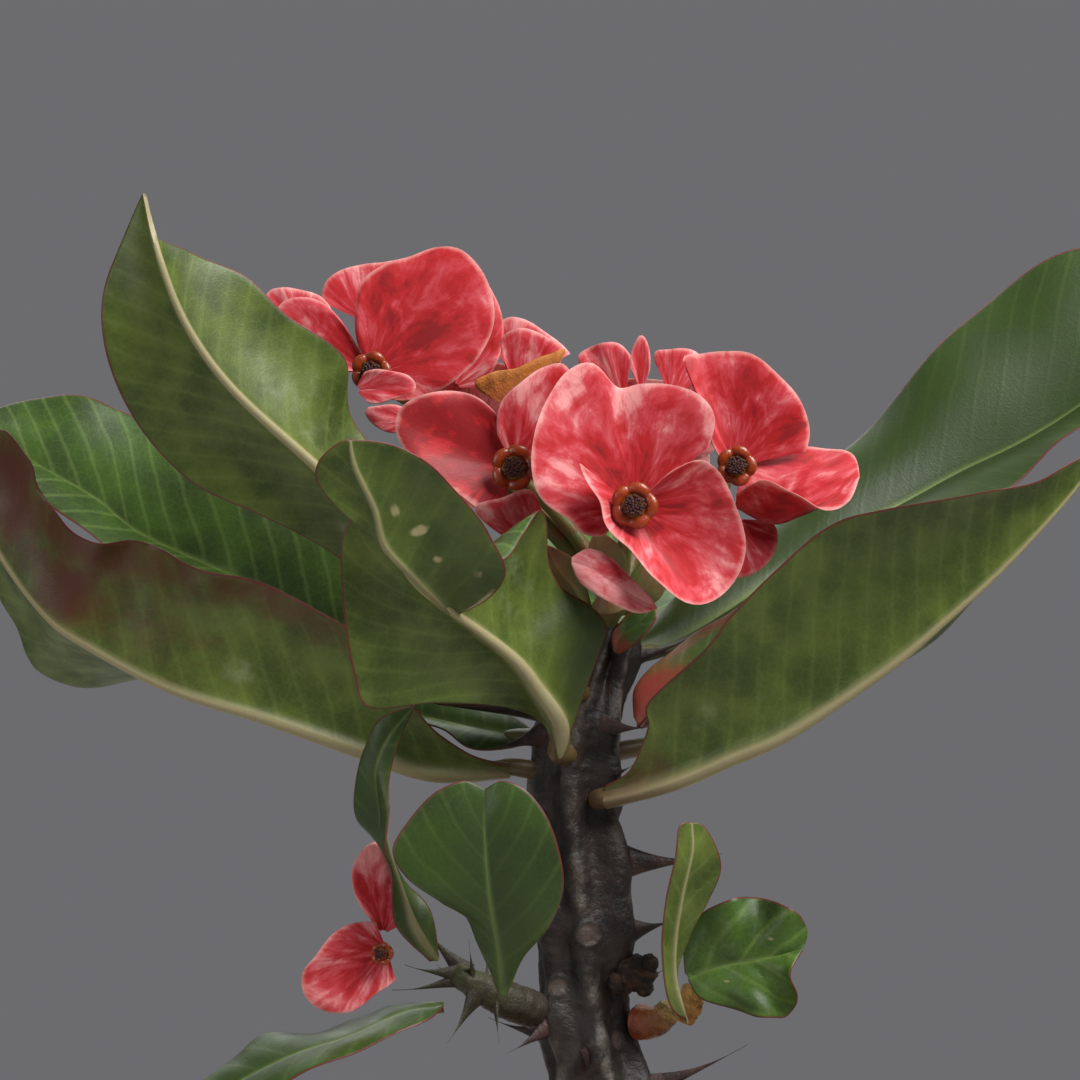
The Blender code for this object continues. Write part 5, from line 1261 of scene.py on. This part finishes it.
@dataclass(frozen=True)
class Cup:
    """A flower's middle: a lobed ring of nectar glands round a bunch of spent anthers."""

    name: str
    place: Triple                           # the middle of the foot, in mm
    way: Triple = (0.0, -1.0, 0.0)
    radius: float = 4.8
    height: float = 3.0
    anthers: int = 19
    glands: int = 5
    ring_steps: int = 75
    section_steps: int = 14
    grain: float = 0.46                     # an anther's radius in mm
    dome: tuple[tuple[float, float], ...] = (   # shares of the height and of the radius, foot to top
        (0.0, 0.95), (0.30, 0.94), (0.50, 0.8), (0.62, 0.5), (0.68, 0.06))

    def axes(self) -> tuple[np.ndarray, np.ndarray, np.ndarray, np.ndarray]:
        """Work out how the cup stands.

        Returns:
            The middle of its foot in mm, then its outward, right and up directions.
        """
        foot, out = np.asarray(self.place, float), unit(np.asarray(self.way, float))
        right = unit(np.cross(np.array([0.0, 0.0, 1.0]), -out))
        return foot, out, right, np.cross(out, right)

    def add_glands(self, form: Form) -> None:
        """Add the lobed ring of glands, and the shallow dome that it stands round.

        Args:
            form: The form that gathers them.
        """
        foot, out, right, up = self.axes()
        a = (np.arange(self.ring_steps) * tau / self.ring_steps)[:, None, None]
        b = (np.arange(self.section_steps) * tau / self.section_steps)[None, :, None]
        lobe = np.abs(np.sin(self.glands * a / 2)) ** 0.8
        thick = self.radius * (0.16 + 0.08 * lobe)
        spread = self.radius * (0.80 + 0.07 * lobe) + thick * 1.25 * np.cos(b)
        lift = self.height * 0.52 + thick * 0.70 * np.sin(b) + self.height * 0.10 * lobe
        ring = foot + spread * (right * np.cos(a) + up * np.sin(a)) + lift * out
        i, j = np.meshgrid(np.arange(self.ring_steps), np.arange(self.section_steps), indexing="ij")
        n, ahead, beside = self.section_steps, (i + 1) % self.ring_steps, (j + 1) % self.section_steps
        faces = np.stack([i * n + j, i * n + beside, ahead * n + beside, ahead * n + j], axis=-1)
        crest = np.clip(0.5 + 0.6 * np.sin(b) + 0 * a, 0, 1)
        form.add(ring * MM, faces.reshape(-1, 4), along=crest)
        rise = np.array([share for share, _ in self.dome])[:, None] * self.height
        radii = np.array([share for _, share in self.dome]) * self.radius
        points, faces, _ = tube((foot + out * rise) * MM, radii * MM, 36)
        form.add(points, faces, along=0.35)

    def add_anthers(self, form: Form) -> None:
        """Add the anthers, set in a spiral: each is a thread with two grains at its tip.

        Args:
            form: The form that gathers them, as look 1.
        """
        foot, out, right, up = self.axes()
        lump, lump_faces = ball(2)
        for k in range(self.anthers):
            reach = self.radius * 0.50 * np.sqrt((k + 0.5) / self.anthers)
            angle = k * GOLDEN_ANGLE
            side = right * cos(angle) + up * sin(angle)
            low = foot + side * reach * 0.9 + out * self.height * 0.5
            high = foot + side * reach + out * self.height * (1.28 - 0.30 * (reach / self.radius) ** 2)
            points, faces, share = tube(np.linspace(low, high, 4) * MM, np.full(4, 0.20 * MM), 6)
            form.add(points, faces, look=1, along=0.5 * share)
            turn = np.cross(out, side) * cos(k * 1.7) + side * sin(k * 1.7)
            for shift in (-0.6, 0.6):
                centre = high + turn * shift * self.grain
                form.add((centre + lump * self.grain) * MM, lump_faces, look=1, along=1.0)

    def build(self) -> Form:
        """Gather the glands and the anthers.

        Returns:
            The form, with look 0 for glands and look 1 for anthers.
        """
        form = Form()
        self.add_glands(form)
        self.add_anthers(form)
        return form


CUPS = (
    Cup("cup_far_left", (-54.5, -9.2, 360), radius=4.2), Cup("cup_left", (-20.5, -16.2, 337)),
    Cup("cup_middle", (7.5, -26.2, 328)), Cup("cup_right", (32, -12.2, 337.5), radius=4.2),
    Cup("cup_back_left", (-28.46, 27.30, 345.1), way=(0.366, 0.785, 0.5)),
    Cup("cup_back_right", (12.82, 31.23, 342.41), way=(-0.280, 0.770, 0.574)),
    Cup("cup_low", (-50.5, -29.5, 224), way=(-0.3, -1.0, 0.1), radius=2.4, anthers=7, grain=0.34),
)


def blade_work(name: str, blades: Sequence[Blade], *nodes: str) -> Work:
    """Build blades as one form, finished as the first one says.

    Args:
        name: The piece's name.
        blades: The blades, all of one finish.
        nodes: The frame nodes they stand for, if any.

    Returns:
        The form, ready to dress.
    """
    form = Form()
    for blade in blades:
        blade.build(form)
    return Work(form, name, (blades[0].finish,), blades[0].slot, nodes)


@dataclass(frozen=True)
class Flowers(Assembly):
    """The cluster of flowers: fanned bracts, folded bracts and the cups between them."""

    fans: tuple[Fan, ...] = BRACTS
    folded: tuple[Blade, ...] = FOLDED_BRACTS
    cups: tuple[Cup, ...] = CUPS

    def build(self) -> list[Work]:
        """Build each bract and cup.

        Returns:
            The fanned bracts, the folded bracts and the cups, ready to dress.
        """
        works = []
        for fan in self.fans:
            form = Form()
            fan.build(form)
            finish = Finish.WITHERED if fan.slot == "wilted_bract" else Finish.BRACT
            works.append(Work(form, f"{fan.name}_tissue", (finish,), fan.slot, (fan.name,)))
        works += [blade_work(f"{blade.name}_tissue", (blade,), blade.name) for blade in self.folded]
        for cup in self.cups:
            looks = (Finish.GLAND, Finish.ANTHER)
            works.append(Work(cup.build(), f"{cup.name}_flower_middle", looks, "nectary", (cup.name,)))
        return works


@dataclass(frozen=True)
class Foliage(Assembly):
    """The crown's leaves, the young leaves and the leaves of the side shoots."""

    leaves: tuple[Blade, ...] = LEAVES
    front: tuple[Blade, ...] = FRONT_LEAF

    def build(self) -> list[Work]:
        """Build each leaf.

        Returns:
            The leaves, ready to dress, with the front leaf's two blades as one.
        """
        works = [blade_work(f"{blade.name}_blade", (blade,), blade.name) for blade in self.leaves]
        return works + [blade_work("leaf_front_blade", self.front, "leaf_front")]


# ---- stem, side shoots and stalks --------
def add_thorns(form: Form, thorns: Sequence[Thorn], rings: int = 26, sides: int = 14) -> None:
    """Add thorns with a broad foot that draws in quickly to a slender, slightly bent point.

    Args:
        form: The form that gathers them.
        thorns: For each thorn its foot, its tip and its foot's radius, in mm.
        rings: Rings of points along a thorn.
        sides: Points round it.
    """
    share = np.linspace(0, 1, rings)
    for foot, tip, width in thorns:
        foot, tip = np.asarray(foot, float), np.asarray(tip, float)
        path = foot + (tip - foot) * share[:, None]
        path[:, 2] -= 0.035 * np.linalg.norm(tip - foot) * np.sin(pi * share ** 1.4)
        radii = np.maximum(1.75 * width * (1 - share) ** 2.4, 0.07)
        points, faces, along = tube(path * MM, radii * MM, sides, flat=0.50)
        form.add(points, faces, thorn=np.clip((along - 0.06) / 0.16, 0, 1), along=along)


@dataclass(frozen=True)
class Stem(Assembly):
    """The old main stem: six twisting ribs, swollen thorn seats, pale ridges of corky bark and painted
    highlight, leaf scars and a dried bud.
    """

    path: Guides = ((0, 0, 86), (0, 0, 110), (1, 0, 150), (-1, 0, 192), (-4, 0, 212), (-6, 0, 238),
                    (-7, 0, 262), (-4, 0, 278), (1, 0, 291), (4, 1, 300))
    widths: tuple[float, ...] = (10.0, 10.0, 10.3, 10.3, 9.6, 9.8, 10.2, 8.6, 5.8, 4.0)
    ribs: int = 6
    rib_height: float = 1.2
    twist: float = 6.16             # of the ribs, from foot to tip, in radians
    seat: Triple = (1.25, 2.1, 0.95)    # a thorn seat's breadth, length and swell, over the thorn's foot
    rings: int = 430
    sides: int = 132
    scars: tuple[Triple, ...] = (    # degrees from +X, height and radius in mm
        (282, 226.5, 2.9), (235, 214, 2.2), (310, 201, 2.4), (262, 178, 2.6), (210, 160, 2.4),
        (330, 154, 2.6), (285, 134, 2.4), (60, 226, 2.6), (120, 204, 2.4), (85, 172, 2.6),
        (150, 150, 2.4), (40, 138, 2.4), (110, 252, 2.4), (200, 246, 2.2),
    )
    bud: tuple[tuple[Triple, Triple], ...] = (    # the middles and radii of its lumps, in mm
        ((8.6, -6.5, 216.8), (4.9, 4.2, 4.4)), ((4.8, -6.0, 214.5), (3.6, 3.4, 3.2)),
        ((11.6, -8.0, 219.2), (2.2, 2.0, 2.4)), ((10.4, -8.8, 213.6), (2.3, 2.0, 2.1)),
    )

    def seats(self, skin: np.ndarray, centre: np.ndarray,
              radius: np.ndarray) -> tuple[np.ndarray, np.ndarray]:
        """Swell the skin round the foot of each thorn.

        Args:
            skin: The skin's points in mm, ring by ring.
            centre: The middle of each ring.
            radius: The radius of each ring, as a column.

        Returns:
            For each point, the swelling in mm and how near it is to a seat, from 0 to 1.
        """
        swelling, seat = np.zeros(skin.shape[:2]), np.zeros(skin.shape[:2])
        breadth, length, swell = self.seat
        for foot, tip, width in THORNS:
            foot, tip = np.asarray(foot, float), np.asarray(tip, float)
            steps = foot + unit(tip - foot) * np.linspace(0, 16, 65)[:, None]
            axis = np.stack([np.interp(steps[:, 2], centre[:, 2], centre[:, k]) for k in (0, 1)], axis=1)
            wide = np.interp(steps[:, 2], centre[:, 2], radius[:, 0])
            outside = np.linalg.norm(steps[:, :2] - axis, axis=1) > wide
            root = steps[np.argmax(outside)] if outside.any() else foot
            off = skin - root
            around = (off[..., 0] ** 2 + off[..., 1] ** 2) / (breadth * width) ** 2
            near = np.exp(-around - (off[..., 2] / (length * width)) ** 2)
            swelling += near * width * swell
            seat = np.maximum(seat, near)
        return swelling, seat

    def leaf_scars(self, angle: np.ndarray, centre: np.ndarray,
                   radius: np.ndarray) -> tuple[np.ndarray, np.ndarray]:
        """Dent the skin where old leaves fell, with a raised rim round each dent.

        Args:
            angle: The angle of each point round its ring, as a row.
            centre: The middle of each ring.
            radius: The radius of each ring, as a column.

        Returns:
            For each point, the relief in mm and the scar's strength, from 0 to 1.
        """
        relief, scar = np.zeros((self.rings, self.sides)), np.zeros((self.rings, self.sides))
        for degrees_round, height, size in self.scars:
            turn = (angle - radians(degrees_round) + pi) % tau - pi
            off = np.hypot(turn * radius, (centre[:, 2] - height)[:, None])
            scar = np.maximum(scar, 0.75 * np.clip((size - off) / 0.9, 0, 1))
            relief += 0.35 * np.exp(-((off - size) / 0.5) ** 2)
            relief -= 0.25 * np.clip(1 - off / size, 0, 1) ** 0.5
        return relief, scar

    def skin(self) -> Form:
        """Gather the stem's skin and its thorns.

        Returns:
            The form.
        """
        share = np.linspace(0, 1, self.rings)
        centre = smooth_curve(self.path, share)
        radius = np.interp(centre[:, 2], [p[2] for p in self.path], self.widths)[:, None]
        angle = (np.arange(self.sides) * tau / self.sides)[None, :]
        ridge = np.sin(self.ribs * angle + self.twist * share[:, None])
        flat = np.stack([np.cos(angle), np.sin(angle), 0 * angle], axis=-1)
        skin = centre[:, None] + flat * (radius + self.rib_height * ridge)[..., None]
        swelling, seat = self.seats(skin, centre, radius)
        relief, scar = self.leaf_scars(angle, centre, radius)
        rough, fine = wander(skin * MM, 5.0), wander(skin * MM, 1.6, 3.0)
        wrinkle = wander(skin * MM * [1, 1, 0.35], 2.2, 9.0)
        bump = swelling + relief + 0.45 * rough + 0.16 * fine + 0.22 * wrinkle
        skin = skin + flat * bump[..., None]
        # Pale on the ridge crests and round the thorn seats: partly worn corky bark and partly painted
        # highlight.
        crest = np.clip(ridge, 0, 1) ** 1.5
        ridge_patches = 0.55 + 0.75 * wander(skin * MM, 13.0, 6.0)
        cork = (0.62 * ridge_patches + 0.35 * rough) * crest + 0.7 * seat * (1 - seat) - 0.3 * seat
        form = Form()
        faces = ring_faces(self.rings, self.sides)
        form.add(skin * MM, faces, cork=np.clip(cork, 0, 1), scar=scar, thorn=0.0)
        add_thorns(form, THORNS)
        return form

    def dried_bud(self) -> Form:
        """Gather the wrinkled lumps of the dried bud beside the stem.

        Returns:
            The form.
        """
        form = Form()
        lump, faces = ball(4)
        for seed, (middle, radii) in enumerate(self.bud, start=1):
            folds = 1 + 0.16 * wander(lump * MM, 0.45, seed) + 0.07 * wander(lump * MM, 0.16, seed)
            form.add((np.asarray(middle) + lump * folds[:, None] * np.asarray(radii)) * MM, faces, along=0.5)
        return form

    def build(self) -> list[Work]:
        """Return the skin with its thorns, and the dried bud, ready to dress."""
        return [Work(self.skin(), "stem_skin", (Finish.BARK,), "bark", ("stem",)),
                Work(self.dried_bud(), "stem_dried_bud", (Finish.KNOB,), "dried_wood")]


@dataclass(frozen=True)
class Branch:
    """One short shoot or stalk: a path and its radii in mm, and how rough its skin is."""

    path: Guides
    radii: tuple[float, ...]
    rough: float = 0.0
    rough_mm: float = 2.0
    rings: int = 60
    sides: int = 36

    def build(self, form: Form) -> None:
        """Add the branch, rounded off at its tip.

        Args:
            form: The form that gathers it.
        """
        share = np.linspace(0, 1, self.rings) ** 0.9
        path = smooth_curve(self.path, share)
        radii = smooth_curve([(r, k) for k, r in enumerate(self.radii)], share)[:, 0]
        tip = np.sqrt(np.clip(1 - np.clip((share - 0.93) / 0.07, 0, 1) ** 2, 0.02, 1))
        points, faces, along = tube(path * MM, radii * tip * MM, self.sides)
        if self.rough:
            middle = np.repeat(path * MM, self.sides, axis=0)
            ways = unit(points - middle)
            folds = wander(points, self.rough_mm) + 0.5 * wander(points, self.rough_mm / 2.7, 5.0)
            points = points + ways * (folds * self.rough * MM)[:, None]
        form.add(points, faces, along=along)


@dataclass(frozen=True)
class Shoots(Assembly):
    """The two side shoots and the dry stub on the right one."""

    left: Branch = Branch(((-15.5, -6.5, 208), (-22, -12, 211), (-29, -17, 215), (-35, -20, 219)),
                          (4.5, 4.6, 4.0, 2.6), rough=0.35)
    right: Branch = Branch(((8.7, -4, 205), (12, -6, 205), (15.5, -7, 207), (17, -7.5, 210)),
                           (4.2, 4.0, 3.4, 2.6), rough=0.30)
    stub: Branch = Branch(((19.8, -3.5, 205), (21.5, -4, 209), (22, -4.5, 214)), (2.2, 3.0, 2.2),
                          rough=0.55, rough_mm=1.5)

    def build(self) -> list[Work]:
        """Build the left shoot with its thorns, the right shoot and the stub.

        Returns:
            The three forms, ready to dress.
        """
        left, right, stub = Form(), Form(), Form()
        self.left.build(left)
        add_thorns(left, SHOOT_THORNS, rings=20, sides=10)
        self.right.build(right)
        self.stub.build(stub)
        return [Work(left, "left_shoot_skin", (Finish.SHOOT,), "green_bark", ("shoot_left",)),
                Work(right, "right_shoot_skin", (Finish.FLUSHED,), "shoot_bark", ("shoot_right",)),
                Work(stub, "dry_stub_wood", (Finish.STUB,), "dried_wood", ("dried_stub",))]


SCALE_KIND: dict[str, Any] = {
    "finish": Finish.SCALE, "slot": "stalk_green", "stalk": 0.9, "thickness": 0.6, "wave": (0.1, 9.0)}
SCALE_LEAVES = (
    Blade("scale_left", (-3, -7, 303), **SCALE_KIND, rails=(
        ((0, 0, 0), (-4, -3, 6), (-8, -5, 11), (-10, -6, 16)),
        ((-1, 0, -1), (-6, -3, 4), (-10, -5, 10), (-10, -6, 16)),
        ((1, 0, 1), (-1, -3, 8), (-4, -5, 13), (-10, -6, 16)))),
    Blade("scale_middle", (3, -10, 309), **SCALE_KIND, rails=(
        ((0, 0, 0), (-1, -2, 5), (-3, -4, 9), (-4, -4, 14)),
        ((-1, 0, 0), (-4, -2, 5), (-6, -4, 9), (-4, -4, 14)),
        ((1, 0, 0), (3, -2, 4), (2, -4, 9), (-4, -4, 14)))),
    Blade("scale_right", (8, -6, 304), **SCALE_KIND, rails=(
        ((0, 0, 0), (3, -2, 4), (5, -3, 8), (6, -3, 12)),
        ((-1, 0, 1), (0, -2, 5), (2, -3, 9), (6, -3, 12)),
        ((1, 0, -1), (6, -2, 2), (8, -3, 7), (6, -3, 12)))),
)


@dataclass(frozen=True)
class Stalks(Assembly):
    """The forking flower stalk, its small scale leaves and a closed bud."""

    fork: tuple[Stalk, ...] = STALKS
    scales: tuple[Blade, ...] = SCALE_LEAVES
    bud: Branch = Branch(((2.5, -7, 299.5), (2.2, -9, 303.5), (1.6, -11, 308)), (1.0, 4.4, 2.0),
                         rough=0.1, sides=30)

    def build(self) -> list[Work]:
        """Build the stalks, then the scale leaves and the bud.

        Returns:
            The forms, ready to dress.
        """
        stalks, bud = Form(), Form()
        for path, radii in self.fork:
            Branch(path, radii, rough=0.06, rings=90, sides=28).build(stalks)
        self.bud.build(bud)
        return [Work(stalks, "flower_stalk_skin", (Finish.STALK,), "stalk_green", ("flower_stalk",)),
                *[blade_work(f"{blade.name}_leaf", (blade,)) for blade in self.scales],
                Work(bud, "flower_bud_scales", (Finish.SCALE,), "stalk_green")]


# ---- pot and potting mix --------
def rounded(corners: Sequence[Triple], spacing: float = 1.6) -> np.ndarray:
    """Round an outline's corners and split its straight stretches.

    Args:
        corners: The corners as (radius, height, rounding) in mm.
        spacing: The longest step along a straight stretch, in mm.

    Returns:
        The outline's points in mm, as (radius, height).
    """
    points = [np.asarray(corners[0][:2], float)]
    for before, corner, after in zip(corners, corners[1:], corners[2:]):
        here = np.asarray(corner[:2], float)
        back, ahead = unit(np.asarray(before[:2]) - here), unit(np.asarray(after[:2]) - here)
        for t in np.linspace(0, 1, 7 if corner[2] > 1 else 4):
            points.append(here + back * corner[2] * (1 - t) ** 2 + ahead * corner[2] * t ** 2)
    points.append(np.asarray(corners[-1][:2], float))
    split = []
    for one, two in zip(points, points[1:]):
        count = max(1, int(np.ceil(np.linalg.norm(two - one) / spacing)))
        split += [one + (two - one) * k / count for k in range(count)]
    return np.array(split + [points[-1]])


def turned(outline: np.ndarray, sides: int) -> tuple[np.ndarray, Faces]:
    """Spin an outline round Z and close both of its ends with flat faces.

    Args:
        outline: Points as (radius, height) in mm, from one end to the other.
        sides: Points round each ring.

    Returns:
        The points in mm and the faces.
    """
    angle = (np.arange(sides) * tau / sides)[None, :]
    radius, height = outline[:, 0][:, None], outline[:, 1][:, None]
    rings = np.stack([radius * np.cos(angle), radius * np.sin(angle), height + 0 * angle], axis=-1)
    return rings.reshape(-1, 3), ring_faces(len(outline), sides)


@dataclass(frozen=True)
class Pot:
    """A thrown clay pot with a rolled rim and four drain holes. Sizes in mm."""

    height: float = 130.0
    top_radius: float = 75.0
    foot_radius: float = 52.0
    wall: float = 6.0
    floor: float = 9.0
    rim_height: float = 22.0
    rim_overhang: float = 4.0
    drain_radius: float = 6.0
    drain_ring: float = 30.0
    drains: int = 4
    sides: int = 160
    finger_rings: float = 5.2       # the height of one ring that the thrower's fingers left
    damp_height: float = 45.0       # how far up the damp reaches
    tide_height: float = 50.0       # where lime has dried out above it

    def outline(self) -> np.ndarray:
        """Trace the pot from the middle of its foot, up its side and round its rim, to its inner floor.

        Returns:
            The outline's points in mm, as (radius, height).
        """
        neck, under = self.top_radius - self.rim_overhang, self.height - self.rim_height
        inner = self.foot_radius + (neck - self.foot_radius) * self.floor / under - self.wall
        return rounded(((self.foot_radius - 8, 0, 0), (self.foot_radius, 0, 2.0), (neck, under, 0.8),
                        (self.top_radius, under, 3.0), (self.top_radius, self.height, 3.4),
                        (neck - self.wall, self.height, 2.4), (inner, self.floor, 4.0),
                        (inner - 8, self.floor, 0)))

    def build(self) -> bpy.types.Object:
        """Build the pot, drill its drains and mark its damp and limy heights.

        Returns:
            The pot, with its material.
        """
        form = Form()
        points, faces = turned(self.outline(), self.sides)
        reach = np.hypot(points[:, 0], points[:, 1])
        ring = 0.10 * np.sin(tau * points[:, 2] / self.finger_rings) + 0.10 * wander(points * MM, 18.0)
        side = (points[:, 2] > 3) & (points[:, 2] < self.height - 3)
        points[side, :2] *= (1 + ring[side] / reach[side])[:, None]
        form.add(points * MM, faces)
        pot = form.finish("clay_pot", [Finish.CLAY.make()])
        for k in range(self.drains):
            self.drill(pot, tau * (k + 0.5) / self.drains)
        points = np.array([v.co[:] for v in pot.data.vertices]) / MM
        damp = np.clip(1 - points[:, 2] / self.damp_height, 0, 1) * 0.8
        tide = np.clip(1 - np.abs(points[:, 2] - self.tide_height) / 22, 0, 1) * 0.5
        lime = np.maximum(tide, np.clip((points[:, 2] - self.height + 9) / 9, 0, 1) * 0.8)
        for key, value in (("damp", damp), ("lime", lime)):
            pot.data.attributes.new(key, "FLOAT", "POINT").data.foreach_set("value", value)
        pot.data.shade_smooth()
        pot.data.set_sharp_from_angle(angle=SMOOTH_ANGLE)
        return pot

    def drill(self, pot: bpy.types.Object, angle: float) -> None:
        """Drill one drain through the pot's floor.

        Args:
            pot: The pot, whose mesh is replaced by the drilled one.
            angle: Where the drain is, in radians from +X.
        """
        bpy.ops.mesh.primitive_cylinder_add(
            vertices=48, radius=self.drain_radius * MM, depth=4 * self.floor * MM,
            location=(cos(angle) * self.drain_ring * MM, sin(angle) * self.drain_ring * MM, 0))
        bit = bpy.context.object
        cut = pot.modifiers.new("drain", "BOOLEAN")
        cut.object, cut.operation, cut.solver = bit, "DIFFERENCE", "EXACT"
        bpy.context.view_layer.update()
        drilled = pot.evaluated_get(bpy.context.evaluated_depsgraph_get())
        mesh = bpy.data.meshes.new_from_object(drilled)
        pot.modifiers.clear()
        pot.data = mesh
        bpy.data.objects.remove(bit)

    def dress(self) -> None:
        """Fit the pot in place of its node."""
        fit(self.build(), "clay", "pot")


@dataclass(frozen=True)
class PottingMix(Assembly):
    """The heaped bark compost, with loose chips and perlite on its top. Sizes in mm."""

    foot: float = 9.3
    foot_radius: float = 47.2
    edge: float = 108.0
    edge_radius: float = 61.6
    heap: tuple[tuple[float, float], ...] = ((45, 111.0), (25, 110.4), (12.1, 109.5))
    socket_floor: float = 85.7
    chips: int = 260
    chip_size: tuple[float, float] = (2.2, 5.4)
    grains: int = 70
    grain_size: tuple[float, float] = (0.7, 1.7)
    scatter_radii: tuple[float, float] = (17.0, 57.0)
    sides: int = 150

    def top(self, radius: np.ndarray) -> np.ndarray:
        """Read the mix's height at distances from the middle.

        Args:
            radius: The distances in mm.

        Returns:
            The heights in mm.
        """
        shape = sorted(((self.edge_radius, self.edge), *self.heap))
        return np.interp(radius, [r for r, _ in shape], [z for _, z in shape])

    def body(self) -> Form:
        """Gather the body, with its socket round the stem and its rough top.

        Returns:
            The form.
        """
        form = Form()
        socket = self.heap[-1][0]
        across = np.linspace(self.edge_radius, socket, 44)
        outline = [(self.foot_radius, self.foot), (self.foot_radius + 1, self.foot + 5)]
        outline += [(self.edge_radius - 1.0, self.edge - 8), *zip(across, self.top(across))]
        outline += [(socket, 100.0), (socket, self.socket_floor)]
        points, faces = turned(np.array(outline), self.sides)
        on_top = (points[:, 2] > self.edge - 1) & (np.hypot(points[:, 0], points[:, 1]) > socket + 0.4)
        rough = 1.1 * wander(points * MM, 9.0) + 0.8 * wander(points * MM, 3.5, 2.0)
        points[on_top, 2] += rough[on_top]
        form.add(points * MM, faces, along=0.5)
        return form

    def scatter(self) -> Form:
        """Scatter chips and perlite over the top, each a knobbly lump with its own flats and tilt.

        Returns:
            The form, with look 0 for chips and look 1 for perlite.
        """
        form = Form()
        chance = np.random.default_rng(7)
        lump, faces = ball(2)
        near, far = self.scatter_radii
        for count, sizes, look in ((self.chips, self.chip_size, 0), (self.grains, self.grain_size, 1)):
            for k in range(count):
                size = chance.uniform(*sizes)
                reach = np.sqrt(chance.uniform((near / far) ** 2, 1)) * far
                angle = chance.uniform(0, tau)
                shape = np.array([1.0, chance.uniform(0.5, 0.8), chance.uniform(0.25, 0.45)]) * size
                if look:
                    shape = np.full(3, size)
                knobs = lump * (1 + 0.35 * wander(lump * MM, 0.9, k)[:, None])
                flat = np.clip(knobs, -0.72, 0.72) * shape
                tilt, spin = chance.uniform(-0.5, 0.5), chance.uniform(0, tau)
                lean = np.array([[cos(tilt), 0, sin(tilt)], [0, 1, 0], [-sin(tilt), 0, cos(tilt)]])
                round_z = np.array([[cos(spin), -sin(spin), 0], [sin(spin), cos(spin), 0], [0, 0, 1]])
                height = self.top(reach) + 0.55 * shape[2] + 0.4
                place = np.array([reach * cos(angle), reach * sin(angle), height])
                points = (flat @ lean.T @ round_z.T + place) * MM
                form.add(points, faces, look=look, along=chance.uniform(0, 1))
        return form

    def build(self) -> list[Work]:
        """Return the body and the loose pieces on it, ready to dress."""
        return [Work(self.body(), "compost_body", (Finish.MIX,), "potting_mix", ("potting_mix",)),
                Work(self.scatter(), "compost_chips", (Finish.CHIP, Finish.PERLITE), "potting_mix")]


# ---- studio --------
@dataclass(frozen=True)
class Studio:
    """A pale floor, soft light from the upper right and a level camera in front of the flowers."""

    floor_size: float = 2.4
    camera_place: Triple = (-0.0144, -0.900, 0.320)
    view_angle: float = 2 * atan(0.1296 / 0.900)
    paper: str = "#c9c6c1"
    backdrop: str = "#6c6c6f"
    lights: tuple[Lamp, ...] = (
        ((0.55, -0.45, 1.05), 0.60, 4.2), ((-0.9, -0.8, 0.45), 0.70, 0.8), ((-0.20, 0.6, 0.90), 0.80, 0.9),
    )
    spread: float = radians(75)     # of each light, so that the floor throws back little
    aim: Triple = (0.0, 0.0, 0.30)
    paper_mm: float = 3.0           # the paper's grain, drawn coarser than it is so that it shows

    def lay_floor(self) -> None:
        """Lay a sheet of matt paper just under the pot."""
        bpy.ops.mesh.primitive_plane_add(size=self.floor_size, location=(0, 0, -0.0002))
        floor = bpy.context.object
        floor.name = "studio_floor"
        recipe = Recipe("studio_paper")
        place = recipe.add(Kind.PLACE)
        grain = recipe.add(Kind.NOISE, {"Vector": place, "Scale": per_metre(self.paper_mm)})
        rough = recipe.add(Kind.RANGE, {"Value": grain, "To Min": 0.8, "To Max": 0.9})
        floor.data.materials.append(recipe.shade(Base_Color=linear(self.paper), Roughness=rough))

    def hang_lights(self) -> None:
        """Set the even grey surroundings and hang the soft lights, each turned to the plant."""
        world = bpy.context.scene.world or bpy.data.worlds.new("studio_world")
        bpy.context.scene.world = world
        world.use_nodes = True
        world.node_tree.nodes["Background"].inputs["Color"].default_value = linear(self.backdrop)
        world.node_tree.nodes["Background"].inputs["Strength"].default_value = 1.0
        for k, (place, size, watts) in enumerate(self.lights):
            light = bpy.data.lights.new(f"studio_light_{k}", "AREA")
            light.energy, light.size, light.spread = watts, size, self.spread
            lamp = bpy.data.objects.new(light.name, light)
            lamp.location = place
            lamp.rotation_euler = (Vector(self.aim) - Vector(place)).to_track_quat("-Z", "Y").to_euler()
            bpy.context.scene.collection.objects.link(lamp)

    def place_camera(self) -> None:
        """Place the level camera in front of the flowers and make it the scene's own."""
        lens = bpy.data.cameras.new("studio_camera")
        lens.sensor_width = 36.0
        lens.angle = self.view_angle
        camera = bpy.data.objects.new(lens.name, lens)
        camera.location = self.camera_place
        camera.rotation_euler = (pi / 2, 0, 0)
        bpy.context.scene.collection.objects.link(camera)
        bpy.context.scene.camera = camera
        bpy.context.scene.view_settings.view_transform = "Standard"

    def dress(self) -> None:
        """Set up the floor, the lights and the camera."""
        self.lay_floor()
        self.hang_lights()
        self.place_camera()


def main() -> None:
    """Dress every part of the plant in order, then set the studio."""
    logging.basicConfig(level=logging.INFO, format="%(message)s")
    for assembly in (Pot(), PottingMix(), Stem(), Shoots(), Stalks(), Foliage(), Flowers(), Studio()):
        log.info("-- %s", type(assembly).__name__)
        assembly.dress()


if __name__ == "__main__":
    main()
